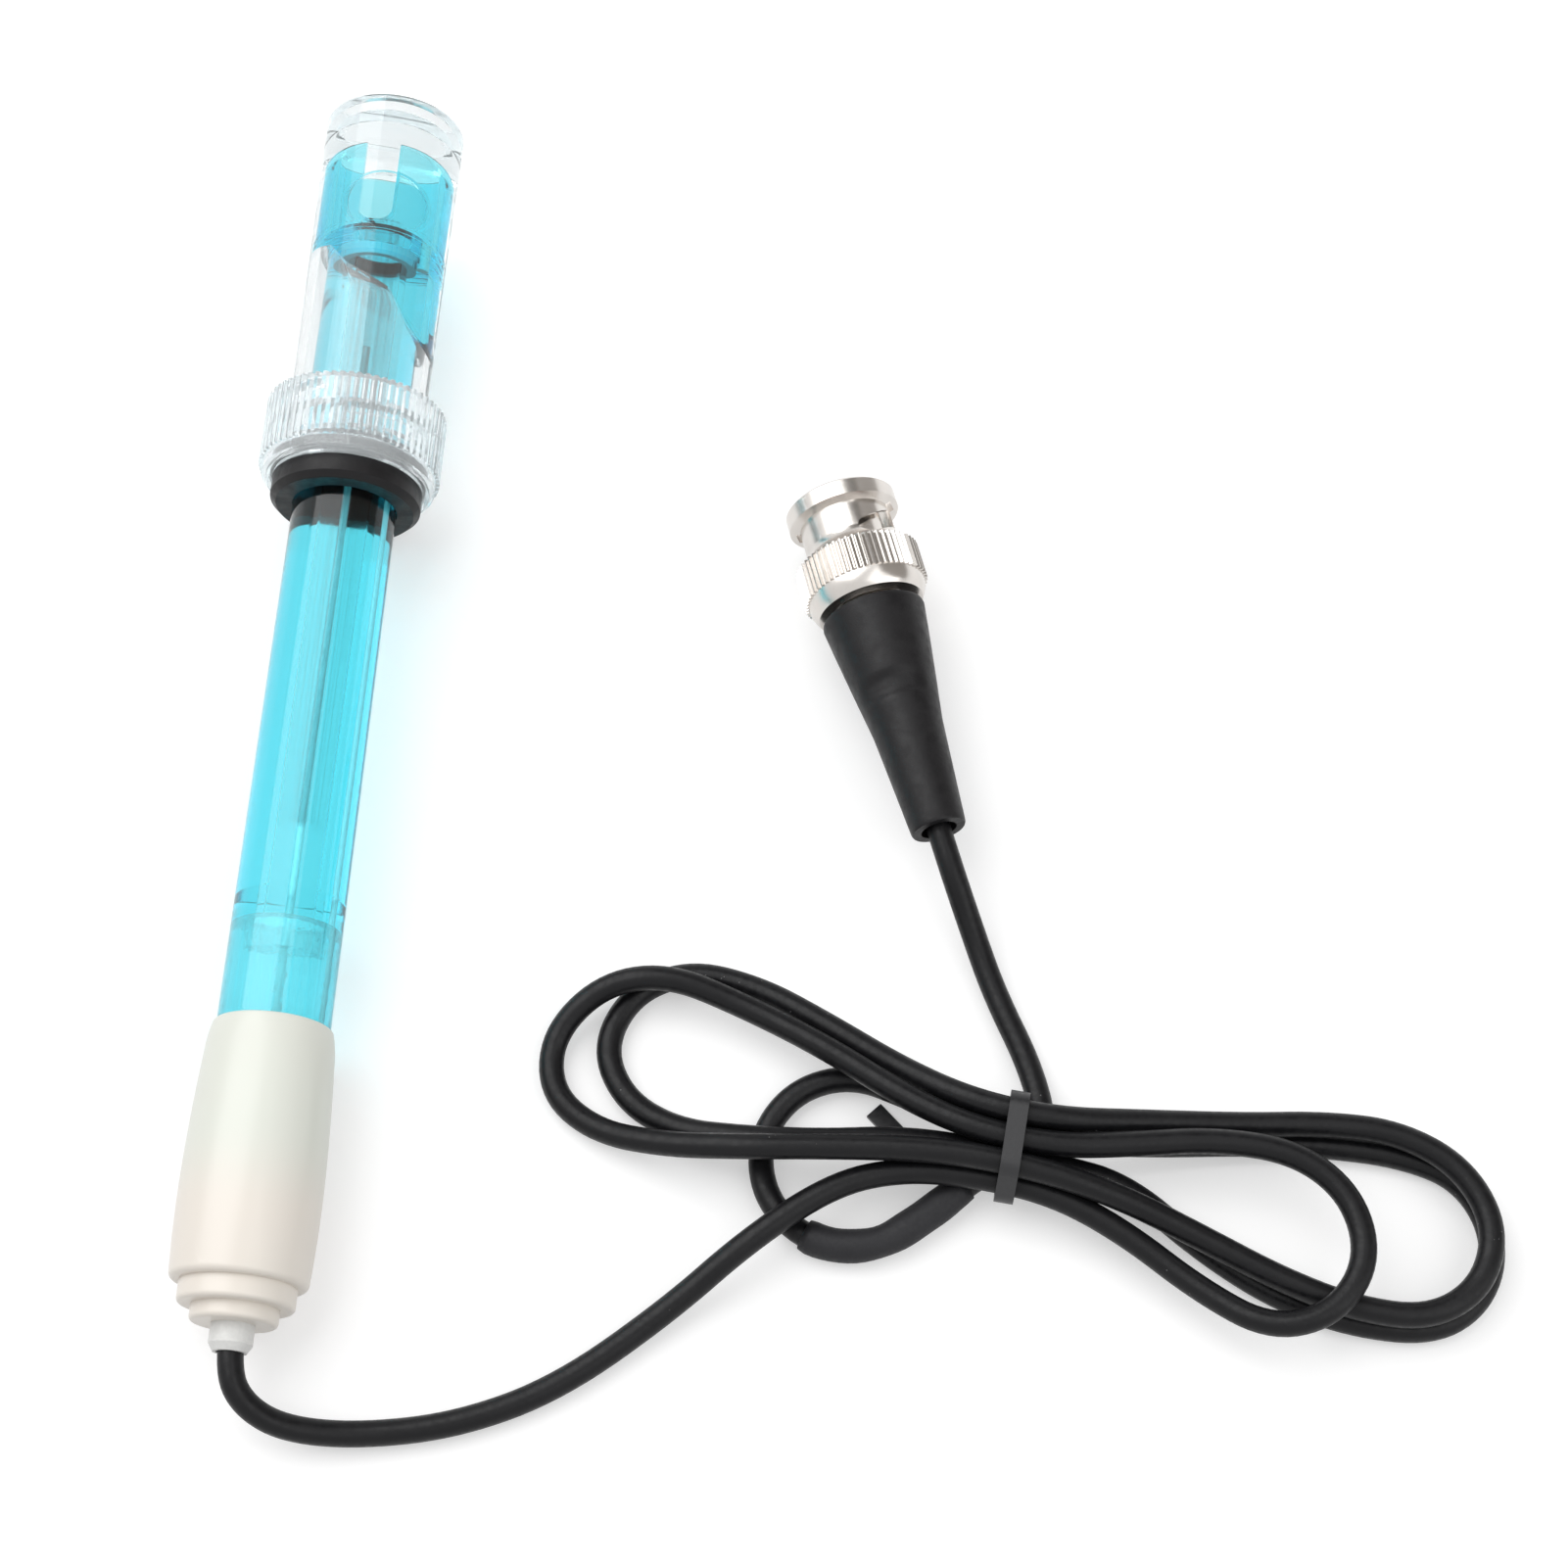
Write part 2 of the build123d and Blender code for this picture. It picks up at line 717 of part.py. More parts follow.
# Nut: clear ring with ribs outside and a coarse thread inside, smooth at its cable side
groove_start = bottle_mouth - gasket_groove_width - gasket_lip
with BuildPart() as bottle_nut:
    with BuildSketch(across(nut_start + nut_rim_length)):
        with BuildLine():
            nut_rib_root = nut_diameter / 2 - nut_rib_height
            nut_outline = ribbed_points(nut_rib_count, nut_diameter / 2, nut_rib_root, nut_rib_crest_share)
            Polyline(nut_outline, close=True)
        make_face()
    extrude(amount=nut_length - nut_rim_length)
    with BuildSketch(section):
        with BuildLine():
            Polyline(
                (0, nut_start),
                (nut_rim_diameter / 2 - nut_edge, nut_start),
                (nut_rim_diameter / 2, nut_start + nut_edge),
                (nut_rim_diameter / 2, nut_start + nut_rim_length),
                (0, nut_start + nut_rim_length),
                close=True,
            )
        make_face()
    revolve(axis=electrode_axis)
    with BuildSketch(section):
        with BuildLine():
            Polyline(
                (0, nut_start),
                (nut_rear_bore / 2, nut_start),
                (nut_rear_bore / 2, groove_start),
                (nut_rear_bore / 2 + gasket_groove_depth, groove_start),
                (nut_rear_bore / 2 + gasket_groove_depth, groove_start + gasket_groove_width),
                (nut_rear_bore / 2, groove_start + gasket_groove_width),
                (nut_rear_bore / 2, bottle_mouth),
                (nut_bore / 2, bottle_mouth + nut_edge),
                (nut_bore / 2, nut_end),
                (0, nut_end),
                close=True,
            )
        make_face()
    revolve(axis=electrode_axis, mode=Mode.SUBTRACT)
    nut_thread_foot = on_axis(bottle_mouth + thread_start + thread_pitch / 2)
    nut_thread_base = nut_bore / 2 + bond_gap
    with BuildLine() as nut_thread_path:
        Helix(
            pitch=thread_pitch,
            height=thread_pitch * nut_thread_turns,
            radius=nut_thread_base,
            center=nut_thread_foot,
            direction=along,
        )
    nut_thread_lead = nut_thread_path.line @ 0
    nut_thread_out = (nut_thread_lead - nut_thread_foot).normalized()
    nut_thread_plane = Plane(origin=nut_thread_lead, x_dir=nut_thread_out, z_dir=nut_thread_path.line % 0)
    with BuildSketch(nut_thread_plane):
        with BuildLine():
            Polyline(
                (0, -thread_root / 2),
                (-nut_thread_height, -thread_crest / 2),
                (-nut_thread_height, thread_crest / 2),
                (0, thread_root / 2),
                close=True,
            )
        make_face()
    sweep(path=nut_thread_path.line, is_frenet=True)
bottle_nut.part.label = "bottle_nut"

# Gasket: black rubber ring on the stem, snapped into the nut's groove
gasket_bore = stem_radius(gasket_start - nut_length) + sliding_gap
gasket_outer = nut_rear_bore / 2 - sliding_gap
with BuildPart() as gasket:
    with BuildSketch(section):
        with BuildLine():
            bead = gasket_outer + gasket_groove_depth - sliding_gap
            Polyline(
                (gasket_bore, gasket_start),
                (gasket_outer - gasket_lip, gasket_start),
                (gasket_outer, gasket_start + gasket_lip),
                (gasket_outer, groove_start + sliding_gap),
                (bead, groove_start + sliding_gap + gasket_lip / 4),
                (bead, groove_start + gasket_groove_width - sliding_gap - gasket_lip / 4),
                (gasket_outer, groove_start + gasket_groove_width - sliding_gap),
                (gasket_outer, gasket_end),
                (gasket_bore, gasket_end),
                close=True,
            )
        make_face()
    revolve(axis=electrode_axis)
gasket.part.label = "gasket"

# Cable: from the cap's bush through the tied hank to the plug, lying on the surface and over itself
floor = cord_radius + floor_gap
under_layer = floor + tie_thickness + 2 * tie_gap
low_layer = under_layer + 2 * cord_radius + floor_gap
top_layer = low_layer + layer_step
tie_left = 73.6
tie_right = 82.0
sleeved = [
    (57.5, -56.5, 1.6),
    (64.1, -56.6, 1.95),
    (69.2, -52.9, 1.95),
    (73.9, -48.7, under_layer),
]
route = [
    on_axis(cap_end_inside),
    on_axis(-cap_end_outside),
    (2.0, -77.8, 5.6),
    (6.1, -79.4, 3.4),
    (13.4, -79.2, 1.7),
    (23.0, -77.4, floor),
    (32.8, -73.0, floor),
    (43.3, -64.4, 1.8),
    (51.0, -57.4, 4.9),
    (59.3, -51.0, 5.1),
    (66.3, -48.9, 4.9),
    (tie_left, -49.0, low_layer),
    (tie_right, -50.4, low_layer),
    (89.6, -53.9, 4.2),
    (97.2, -59.4, 4.3),
    (104.4, -63.5, 5.9),
    (110.8, -61.6, 6.9),
    (114.2, -55.8, 6.9),
    (112.5, -49.2, 6.9),
    (106.9, -45.0, 6.9),
    (98.5, -44.2, 6.9),
    (90.0, -45.3, 7.0),
    (tie_right, -46.1, top_layer),
    (tie_left, -44.75, top_layer),
    (66.5, -41.6, 6.3),
    (57.7, -36.0, 4.7),
    (48.8, -31.6, 3.6),
    (40.5, -29.0, 4.9),
    (33.5, -30.2, 3.8),
    (28.5, -35.5, 1.7),
    (28.9, -41.9, floor),
    (34.1, -45.9, 1.7),
    (41.5, -47.7, 4.5),
    (49.2, -48.2, 7.1),
    (57.5, -47.7, 7.2),
    (66.0, -47.3, top_layer),
    (tie_left, -47.55, top_layer),
    (tie_right, -49.0, top_layer),
    (89.6, -50.9, 5.9),
    (97.6, -54.1, 4.5),
    (105.6, -57.8, 4.15),
    (113.4, -60.4, 4.15),
    (120.9, -60.9, 4.15),
    (126.3, -57.1, 4.15),
    (127.8, -50.7, 4.15),
    (124.4, -44.6, 4.15),
    (117.8, -41.3, 4.15),
    (110.2, -40.9, 4.15),
    (102.0, -41.6, 4.2),
    (91.5, -42.2, 5.0),
    (tie_right, -43.25, top_layer),
    (tie_left, -41.9, top_layer),
    (66.0, -37.9, 4.3),
    (57.5, -32.9, 3.2),
    (50.2, -28.8, 1.7),
    (42.5, -27.2, floor),
    (36.5, -30.3, floor),
    (34.0, -36.5, floor),
    (36.8, -42.2, floor),
    (42.5, -45.4, 2.2),
    (49.5, -46.4, 4.3),
    (57.5, -46.3, 4.4),
    (66.0, -45.5, 4.6),
    (tie_left, -46.15, low_layer),
    (tie_right, -47.5, low_layer),
    (89.8, -48.4, 2.7),
    (97.8, -54.4, floor),
    (105.8, -59.1, floor),
    (113.8, -61.4, floor),
    (122.1, -61.6, floor),
    (127.2, -57.4, floor),
    (128.3, -50.9, floor),
    (125.0, -45.2, floor),
    (118.8, -43.0, floor),
    (110.8, -42.4, floor),
    (102.5, -42.7, floor),
    (91.0, -43.9, 2.2),
    (tie_right, -44.7, low_layer),
    (tie_left, -43.35, low_layer),
    (67.4, -40.4, 2.2),
    (60.8, -37.8, floor),
    (54.6, -40.0, floor),
    (51.2, -45.7, floor),
    (52.4, -52.2, floor),
    *sleeved,
    (81.5, -43.3, under_layer),
    (79.7, -36.0, 1.5),
    (75.5, -27.8, floor),
    (72.6, -20.8, 2.8),
    on_plug_axis(boot_end + plug_end_outside),
    on_plug_axis(boot_end - plug_end_inside),
]
route = [Vector(point) for point in route]
route_radii = bend_radii(route)
with BuildPart() as cable:
    with BuildLine() as cable_line:
        FilletPolyline(*route, radius=route_radii)
    with BuildSketch(Plane(origin=route[0], x_dir=(1, 0, 0), z_dir=route[1] - route[0])):
        Circle(cord_radius)
    sweep(path=cable_line.wires()[0])
cable.part.label = "cable"
cable_length = cable_line.wires()[0].length
print("cable length", round(cable_length, 1))
cable_share = cable.part.volume / (pi * cord_radius**2 * cable_length)
print("cable volume over section times length", round(cable_share, 4))
print("bend radii", [round(radius, 1) for radius in route_radii])

# Shrink sleeve: matt tube on the cable, between the small loop and the tie
sleeved = [Vector(point) for point in sleeved]
sleeve_route = [(sleeved[0] + sleeved[1]) / 2, sleeved[1], sleeved[2], (sleeved[2] + sleeved[3]) / 2]
sleeve_radii = bend_radii(sleeved)
with BuildPart() as shrink_sleeve:
    with BuildLine() as sleeve_line:
        FilletPolyline(*sleeve_route, radius=sleeve_radii)
    sleeve_start = Plane(origin=sleeve_route[0], x_dir=(0, 0, 1), z_dir=sleeve_route[1] - sleeve_route[0])
    with BuildSketch(sleeve_start):
        Circle(sleeve_diameter / 2)
        Circle(cord_radius + bond_gap, mode=Mode.SUBTRACT)
    sweep(path=sleeve_line.wires()[0])
shrink_sleeve.part.label = "shrink_sleeve"

# Twist tie: band drawn tight round the bundle, with its tail along the surface
tie_middle = (tie_x, tie_y, 0)
tie_side = (sin(radians(tie_turn)), cos(radians(tie_turn)), 0)
tie_facing = (cos(radians(tie_turn)), -sin(radians(tie_turn)), 0)
tie_plane = Plane(origin=tie_middle, x_dir=tie_side, z_dir=tie_facing)
held = [
    (-3.45, low_layer),
    (2.4, low_layer),
    (-2.0, top_layer),
    (3.75, top_layer),
    (-0.9, under_layer),
    (1.6, under_layer),
]
with BuildPart() as twist_tie:
    with BuildSketch(tie_plane):
        for place in held:
            with Locations(place):
                Circle(cord_radius + tie_gap + tie_thickness)
        make_hull()
    extrude(amount=tie_width / 2, both=True)
    with BuildSketch(tie_plane):
        for place in held:
            with Locations(place):
                Circle(cord_radius + tie_gap)
        make_hull()
    extrude(amount=tie_width, both=True, mode=Mode.SUBTRACT)
    with BuildSketch(Plane.XY.offset(floor_gap)):
        with BuildLine():
            Polyline(*[(tie_x + reach, tie_y + rise) for reach, rise in tie_tail])
        trace(line_width=tie_width)
    extrude(amount=tie_thickness)
twist_tie.part.label = "twist_tie"

# Coupling nut of the plug: flange, neck with two bayonet ramps, knurled band and rounded back
with BuildPart() as coupling_nut:
    with BuildSketch(plug_section):
        with BuildLine():
            knurl_end = knurl_start + knurl_length
            knurl_root = knurl_diameter / 2 - knurl_height
            neck = neck_diameter / 2
            front = Polyline(
                (socket_bore / 2, 0),
                (flange_diameter / 2 - knurl_height, 0),
                (flange_diameter / 2, knurl_height),
                (flange_diameter / 2, flange_length),
                (neck, flange_length + knurl_height),
                (neck, knurl_start - flange_length),
            )
            flare = ThreePointArc(
                front @ 1,
                (neck + knurl_height, knurl_start - flange_length / 2),
                (knurl_root - knurl_ledge, knurl_start - knurl_height),
            )
            band = Polyline(flare @ 1, (knurl_root, knurl_start), (knurl_root, knurl_end))
            rounded_back = ThreePointArc(
                band @ 1,
                (
                    (knurl_root * 2 + sleeve_end_diameter) / 4 + knurl_height / 2,
                    (knurl_end + sleeve_end) / 2,
                ),
                (sleeve_end_diameter / 2, sleeve_end),
            )
            Polyline(
                rounded_back @ 1,
                (shank_diameter / 2 + sliding_gap + knurl_ledge, sleeve_end),
                (shank_diameter / 2 + sliding_gap + knurl_ledge, rear_lip_start + rear_lip_length),
                (shank_diameter / 2 + sliding_gap, rear_lip_start + rear_lip_length),
                (shank_diameter / 2 + sliding_gap, rear_lip_start),
                (rear_cavity_diameter / 2, rear_lip_start),
                (rear_cavity_diameter / 2, socket_depth_plug),
                (socket_bore / 2, socket_depth_plug),
                front @ 0,
            )
        make_face()
    revolve(axis=plug_axis)
    with BuildSketch(across_plug(knurl_start)):
        with BuildLine():
            knurl_outline = ribbed_points(knurl_count, knurl_diameter / 2, knurl_root, knurl_crest_share)
            Polyline(knurl_outline, close=True)
        make_face()
        Circle(knurl_root - knurl_ledge, mode=Mode.SUBTRACT)
    extrude(amount=knurl_length)
    for index in range(2):
        ramp_turn = ramp_angle + index * 180
        ramp_plane = Plane(
            origin=on_plug_axis(ramp_station),
            x_dir=plug_spoke(ramp_turn + 90),
            z_dir=plug_spoke(ramp_turn),
        )
        with BuildSketch(ramp_plane):
            SlotOverall(ramp_length, ramp_width, rotation=ramp_slant)
        extrude(amount=neck_diameter, mode=Mode.SUBTRACT)
        entry_side = plug_spoke(ramp_turn - entry_turn - 90)
        entry_plane = Plane(origin=on_plug_axis(0), x_dir=entry_side, z_dir=plug_along)
        with BuildSketch(entry_plane):
            with Locations((0, (socket_bore + entry_reach) / 4)):
                Rectangle(ramp_width, (socket_bore + entry_reach) / 2)
        extrude(amount=entry_depth, mode=Mode.SUBTRACT)
coupling_nut.part.label = "coupling_nut"

# Plug body: flange, shank and crimp stub
with BuildPart() as plug_body:
    with BuildSketch(plug_section):
        with BuildLine():
            flange_end = body_flange_start + body_flange_length
            Polyline(
                (insulator_diameter / 2, socket_depth_plug - plug_gasket_length),
                (contact_diameter / 2 - contact_wall / 2, socket_depth_plug - plug_gasket_length),
                (contact_diameter / 2, socket_depth_plug),
                (socket_bore / 2 - sliding_gap, body_flange_start),
                (body_flange_diameter / 2, body_flange_start),
                (body_flange_diameter / 2, flange_end),
                (shank_diameter / 2, flange_end),
                (shank_diameter / 2, shank_end),
                (crimp_stub_diameter / 2, shank_end),
                (crimp_stub_diameter / 2, crimp_stub_end),
                (crimp_stub_diameter / 2 - crimp_stub_wall, crimp_stub_end),
                (crimp_stub_diameter / 2 - crimp_stub_wall, shank_bore_end),
                (insulator_diameter / 2, shank_bore_end),
                close=True,
            )
        make_face()
    revolve(axis=plug_axis)
plug_body.part.label = "plug_body"

# Outer contact: slotted ring in front of the body
with BuildPart() as outer_contact:
    with BuildSketch(across_plug(contact_front)):
        Circle(contact_diameter / 2)
        Circle(contact_diameter / 2 - contact_wall, mode=Mode.SUBTRACT)
    extrude(amount=socket_depth_plug - plug_gasket_length - contact_front)
    with BuildSketch(across_plug(contact_front)):
        with PolarLocations(0, contact_slot_count):
            with Locations((contact_diameter / 2, 0)):
                Rectangle(contact_diameter / 2, contact_slot_width)
    extrude(amount=contact_slot_length, mode=Mode.SUBTRACT)
outer_contact.part.label = "outer_contact"

# Centre pin of the plug
with BuildPart() as centre_pin:
    with BuildSketch(plug_section):
        with BuildLine():
            pin = pin_diameter / 2
            Polyline(
                (0, pin_front),
                (pin / 2, pin_front),
                (pin, pin_front + pin_tip),
                (pin, insulator_front + pin_collar_diameter),
                (pin_collar_diameter / 2, insulator_front + pin_collar_diameter),
                (pin_collar_diameter / 2, shank_bore_end - pin_tip),
                (pin, shank_bore_end - pin_tip),
                (pin, pin_rear),
                (0, pin_rear),
                close=True,
            )
        make_face()
    revolve(axis=plug_axis)
centre_pin.part.label = "centre_pin"

# Insulator: white bushing round the pin
with BuildPart() as insulator:
    with BuildSketch(plug_section):
        with BuildLine():
            insulator_shoulder = socket_depth_plug - plug_gasket_length
            Polyline(
                (pin, insulator_front),
                (insulator_nose_diameter / 2, insulator_front),
                (insulator_nose_diameter / 2, insulator_shoulder),
                (insulator_diameter / 2, insulator_shoulder),
                (insulator_diameter / 2, shank_bore_end - bond_gap),
                (pin, shank_bore_end - bond_gap),
                (pin, shank_bore_end - pin_tip),
                (pin_collar_diameter / 2, shank_bore_end - pin_tip),
                (pin_collar_diameter / 2, insulator_front + pin_collar_diameter),
                (pin, insulator_front + pin_collar_diameter),
                close=True,
            )
        make_face()
    revolve(axis=plug_axis)
insulator.part.label = "insulator"

# Plug gasket: soft ring on the body's nose, which the socket's barrel presses on
with BuildPart() as plug_gasket:
    with BuildSketch(plug_section):
        with BuildLine():
            Polyline(
                (contact_diameter / 2, socket_depth_plug - plug_gasket_length),
                (socket_bore / 2 - 2 * sliding_gap, socket_depth_plug - plug_gasket_length),
                (socket_bore / 2 - 2 * sliding_gap, socket_depth_plug),
                (contact_diameter / 2, socket_depth_plug),
                close=True,
            )
        make_face()
    revolve(axis=plug_axis)
plug_gasket.part.label = "plug_gasket"

# Spring washer: waved ring behind the body's flange
thrust_start = rear_lip_start - thrust_thickness
washer_room = thrust_start - flange_end - 2 * bond_gap
with BuildPart() as spring_washer:
    with BuildSketch(plug_section):
        with BuildLine():
            washer_low = flange_end + bond_gap
            washer_high = washer_low + washer_room - washer_thickness
            wave_step = body_flange_diameter / 4
            wave_near = Spline(
                (-2 * wave_step, washer_high),
                (-wave_step, washer_low),
                (0, washer_high),
                (wave_step, washer_low),
                (2 * wave_step, washer_high),
            )
            wave_far = Spline(
                (-2 * wave_step, washer_high + washer_thickness),
                (-wave_step, washer_low + washer_thickness),
                (0, washer_high + washer_thickness),
                (wave_step, washer_low + washer_thickness),
                (2 * wave_step, washer_high + washer_thickness),
            )
            Line(wave_near @ 0, wave_far @ 0)
            Line(wave_near @ 1, wave_far @ 1)
        make_face()
    extrude(amount=body_flange_diameter, both=True)
    with BuildSketch(across_plug(flange_end)):
        Circle(body_flange_diameter / 2 - sliding_gap)
        Circle(shank_diameter / 2 + sliding_gap, mode=Mode.SUBTRACT)
    extrude(amount=washer_room + washer_thickness, mode=Mode.INTERSECT)
spring_washer.part.label = "spring_washer"

# Thrust washer: flat ring between the spring washer and the coupling nut's lip
with BuildPart() as thrust_washer:
    with BuildSketch(across_plug(thrust_start)):
        Circle(body_flange_diameter / 2)
        Circle(shank_diameter / 2 + sliding_gap, mode=Mode.SUBTRACT)
    extrude(amount=thrust_thickness)
thrust_washer.part.label = "thrust_washer"

# Retaining ring: open ring on the shank, behind the coupling nut's lip
retaining_start = rear_lip_start + rear_lip_length + bond_gap
with BuildPart() as retaining_ring:
    with BuildSketch(across_plug(retaining_start)):
        Circle(shank_diameter / 2 + knurl_ledge)
        Circle(shank_diameter / 2, mode=Mode.SUBTRACT)
        with Locations((shank_diameter / 2, 0)):
            Rectangle(shank_diameter / 4, shank_diameter / 4, mode=Mode.SUBTRACT)
    extrude(amount=retaining_thickness)
retaining_ring.part.label = "retaining_ring"

# Crimp ferrule: tube over the stub and the cable's braid
with BuildPart() as crimp_ferrule:
    with BuildSketch(across_plug(ferrule_start)):
        Circle(ferrule_diameter / 2)
        Circle(crimp_stub_diameter / 2, mode=Mode.SUBTRACT)
    extrude(amount=crimp_stub_end - ferrule_start)
crimp_ferrule.part.label = "crimp_ferrule"

# Boot: tapered rubber strain relief over shank, ferrule and cable
with BuildPart() as boot:
    with BuildSketch(plug_section):
        with BuildLine():
            ferrule_end = crimp_stub_end
            big = Line((shank_diameter / 2 + bond_gap, boot_start), (boot_diameter / 2, boot_start))
            taper = Spline(
                big @ 1,
                (boot_waist_diameter / 2, boot_waist_station),
                (boot_end_diameter / 2, boot_end),
            )
            Polyline(
                taper @ 1,
                (boot_recess_diameter / 2, boot_end),
                (boot_recess_diameter / 2, boot_end - boot_recess),
                (cord_radius + bond_gap, boot_end - boot_recess),
                (cord_radius + bond_gap, ferrule_end + bond_gap),
                (ferrule_diameter / 2 + bond_gap, ferrule_end + bond_gap),
                (ferrule_diameter / 2 + bond_gap, shank_end),
                (shank_diameter / 2 + bond_gap, shank_end),
                big @ 0,
            )
        make_face()
    revolve(axis=plug_axis)
    dimple_share = (boot_dimple_station - boot_start) / (boot_waist_station - boot_start)
    dimple_top = (boot_diameter + (boot_waist_diameter - boot_diameter) * dimple_share) / 2
    dimple_floor = on_plug_axis(boot_dimple_station) + Vector(0, 0, dimple_top - boot_dimple_depth)
    with BuildSketch(Plane(origin=dimple_floor, x_dir=plug_side, z_dir=(0, 0, 1))):
        RectangleRounded(boot_dimple_width, boot_dimple_length, boot_dimple_round)
    extrude(amount=boot_dimple_width, mode=Mode.SUBTRACT)
boot.part.label = "boot"

pieces = [
    electrode_body,
    ceramic_junction,
    tip_seal,
    glass_stem,
    inner_wire,
    reference_wire,
    inner_buffer,
    upper_seal,
    reference_gel,
    cable_cap,
    cable_bush,
    cap_potting,
    bottle,
    storage_solution,
    bottle_nut,
    gasket,
    cable,
    shrink_sleeve,
    twist_tie,
    coupling_nut,
    plug_body,
    outer_contact,
    centre_pin,
    insulator,
    plug_gasket,
    spring_washer,
    thrust_washer,
    retaining_ring,
    crimp_ferrule,
    boot,
]
for piece in pieces:
    export_step(piece.part, "parts/" + piece.part.label + ".step")
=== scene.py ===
import math

import bmesh
import bpy
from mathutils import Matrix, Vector


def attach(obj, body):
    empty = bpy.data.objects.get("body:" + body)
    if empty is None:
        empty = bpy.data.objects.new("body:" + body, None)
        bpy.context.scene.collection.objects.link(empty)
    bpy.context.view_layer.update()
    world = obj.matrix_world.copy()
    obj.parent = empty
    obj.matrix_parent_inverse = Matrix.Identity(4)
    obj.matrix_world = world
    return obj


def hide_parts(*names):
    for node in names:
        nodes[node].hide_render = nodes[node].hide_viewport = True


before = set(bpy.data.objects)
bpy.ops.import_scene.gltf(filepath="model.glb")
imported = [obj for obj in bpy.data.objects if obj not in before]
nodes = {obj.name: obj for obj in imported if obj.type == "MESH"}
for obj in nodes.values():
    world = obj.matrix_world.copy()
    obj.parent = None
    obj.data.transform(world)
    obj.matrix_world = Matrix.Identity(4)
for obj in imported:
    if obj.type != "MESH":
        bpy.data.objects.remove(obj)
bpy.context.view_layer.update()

# The electrode's own line, from the nozzle's end towards the bottle's end, in metres
AXIS_START = Vector((0.0, -0.0728, 0.0069188))
AXIS = Vector((0.0, 0.999486, 0.032063))

# The plug's own line, from its front face back to the cable, and the way across it
PLUG_FRONT = Vector((0.0555, 0.028, 0.0071))
PLUG_AXIS = Vector((0.313992, -0.949425, 0.0))
PLUG_SIDE = Vector((0.949425, 0.313992, 0.0))
UP = Vector((0, 0, 1))

CABLE_DIAMETER = 0.0027
SLEEVE_DIAMETER = 0.0036

# Heights of the cable's middle: on the floor, and in the layers that pass through the tie
FLOOR = 0.0014
UNDER = 0.0022
LOW = 0.00495
TOP = 0.00735

# Where the cable enters and leaves the tie, from left to right
TIE_LEFT = 0.0736
TIE_RIGHT = 0.0820

# The sleeve's two ends, seen from above
SLEEVE_START = (0.0566, -0.0557)
SLEEVE_END = (0.0728, -0.0497)

# Storage solution: shares of its free surface's rise, from one side of the bottle to the other
SOLUTION_SURFACE = [
    (-1.0, 0.43),
    (-0.62, 0.395),
    (-0.32, 0.30),
    (0.05, 0.245),
    (0.42, 0.20),
    (0.7, 0.08),
    (1.0, 0.0),
]
SOLUTION_LOW = 0.1145
SOLUTION_RISE = 0.029
SOLUTION_REACH = 0.0068
SOLUTION_BOTTOM = 0.1421
SOLUTION_GAP = 0.00005

# The bottle's bore: its radius at the mouth, and how much wider it is at its far end
BORE_START = 0.1006
BORE_LENGTH = 0.0416
BORE_RADIUS = 0.0066
BORE_SPREAD = 0.00035

# The free surface reaches as far as the bore does at this station; it and the side below it
# are made of so many rings
SURFACE_STATION = 0.12
SURFACE_RINGS = 10
WALL_RINGS = 8

# The faces that liquid wets: the bottle's lies within the first radius and ends at the
# station below it, and the body's lies within the second radius
BOTTLE_FACE_RADIUS = 0.00715
BOTTLE_FACE_END = 0.1423
BODY_FACE_RADIUS = 0.0051

# Sides of the gel's column and of the storage solution
ROUND_SIDES = 72

# The gel's column in the body; only its end at the cable's side bends light
GEL_START = 0.0481
GEL_END = 0.1255
GEL_RADIUS_LOW = 0.00484
GEL_RADIUS_TIP = 0.00466
GEL_STEPS = 12
GEL_FREE_END = 0.0483

# The boot's outline: distance from the plug's front, and radius
BOOT_PROFILE = [
    (0.0146, 0.00555),
    (0.0147, 0.00578),
    (0.0150, 0.00585),
    (0.0180, 0.00547),
    (0.0210, 0.00507),
    (0.0240, 0.00466),
    (0.0270, 0.00423),
    (0.0290, 0.00395),
    (0.0320, 0.00372),
    (0.0350, 0.00350),
    (0.0380, 0.00328),
    (0.0409, 0.00308),
    (0.0413, 0.00303),
    (0.0415, 0.00292),
]

# The boot's rings: before its taper, along the taper in equal steps, and after it
BOOT_FRONT = [0.0146, 0.0147, 0.0150]
BOOT_BACK = [0.0411, 0.0413, 0.0415]
BOOT_TAPER_START = 0.0150
BOOT_TAPER_LENGTH = 0.0259
BOOT_TAPER_STEPS = 110
BOOT_SIDES = 120

# The boot's open end: a wider mouth round the cable, then its bore
BOOT_MOUTH = [
    (0.0415, 0.0020),
    (0.0401, 0.0020),
    (0.0401, 0.00137),
]

# The thumb dimple in the boot
DIMPLE_DISTANCE = 0.0250
DIMPLE_TURN = math.radians(104.0)
DIMPLE_DEPTH = 0.00042
DIMPLE_HALF_LENGTH = 0.00125
DIMPLE_HALF_WIDTH = 0.0032

# The boot's edges that turn by more than this, in radians, stay sharp
SHARP_TURN = 0.6

# What the lamps and the grey cards face
LIT_SPOT = (0.05, 0, 0)


def on_axis(station):
    return AXIS_START + AXIS * station


def on_plug(distance):
    return PLUG_FRONT + PLUG_AXIS * distance


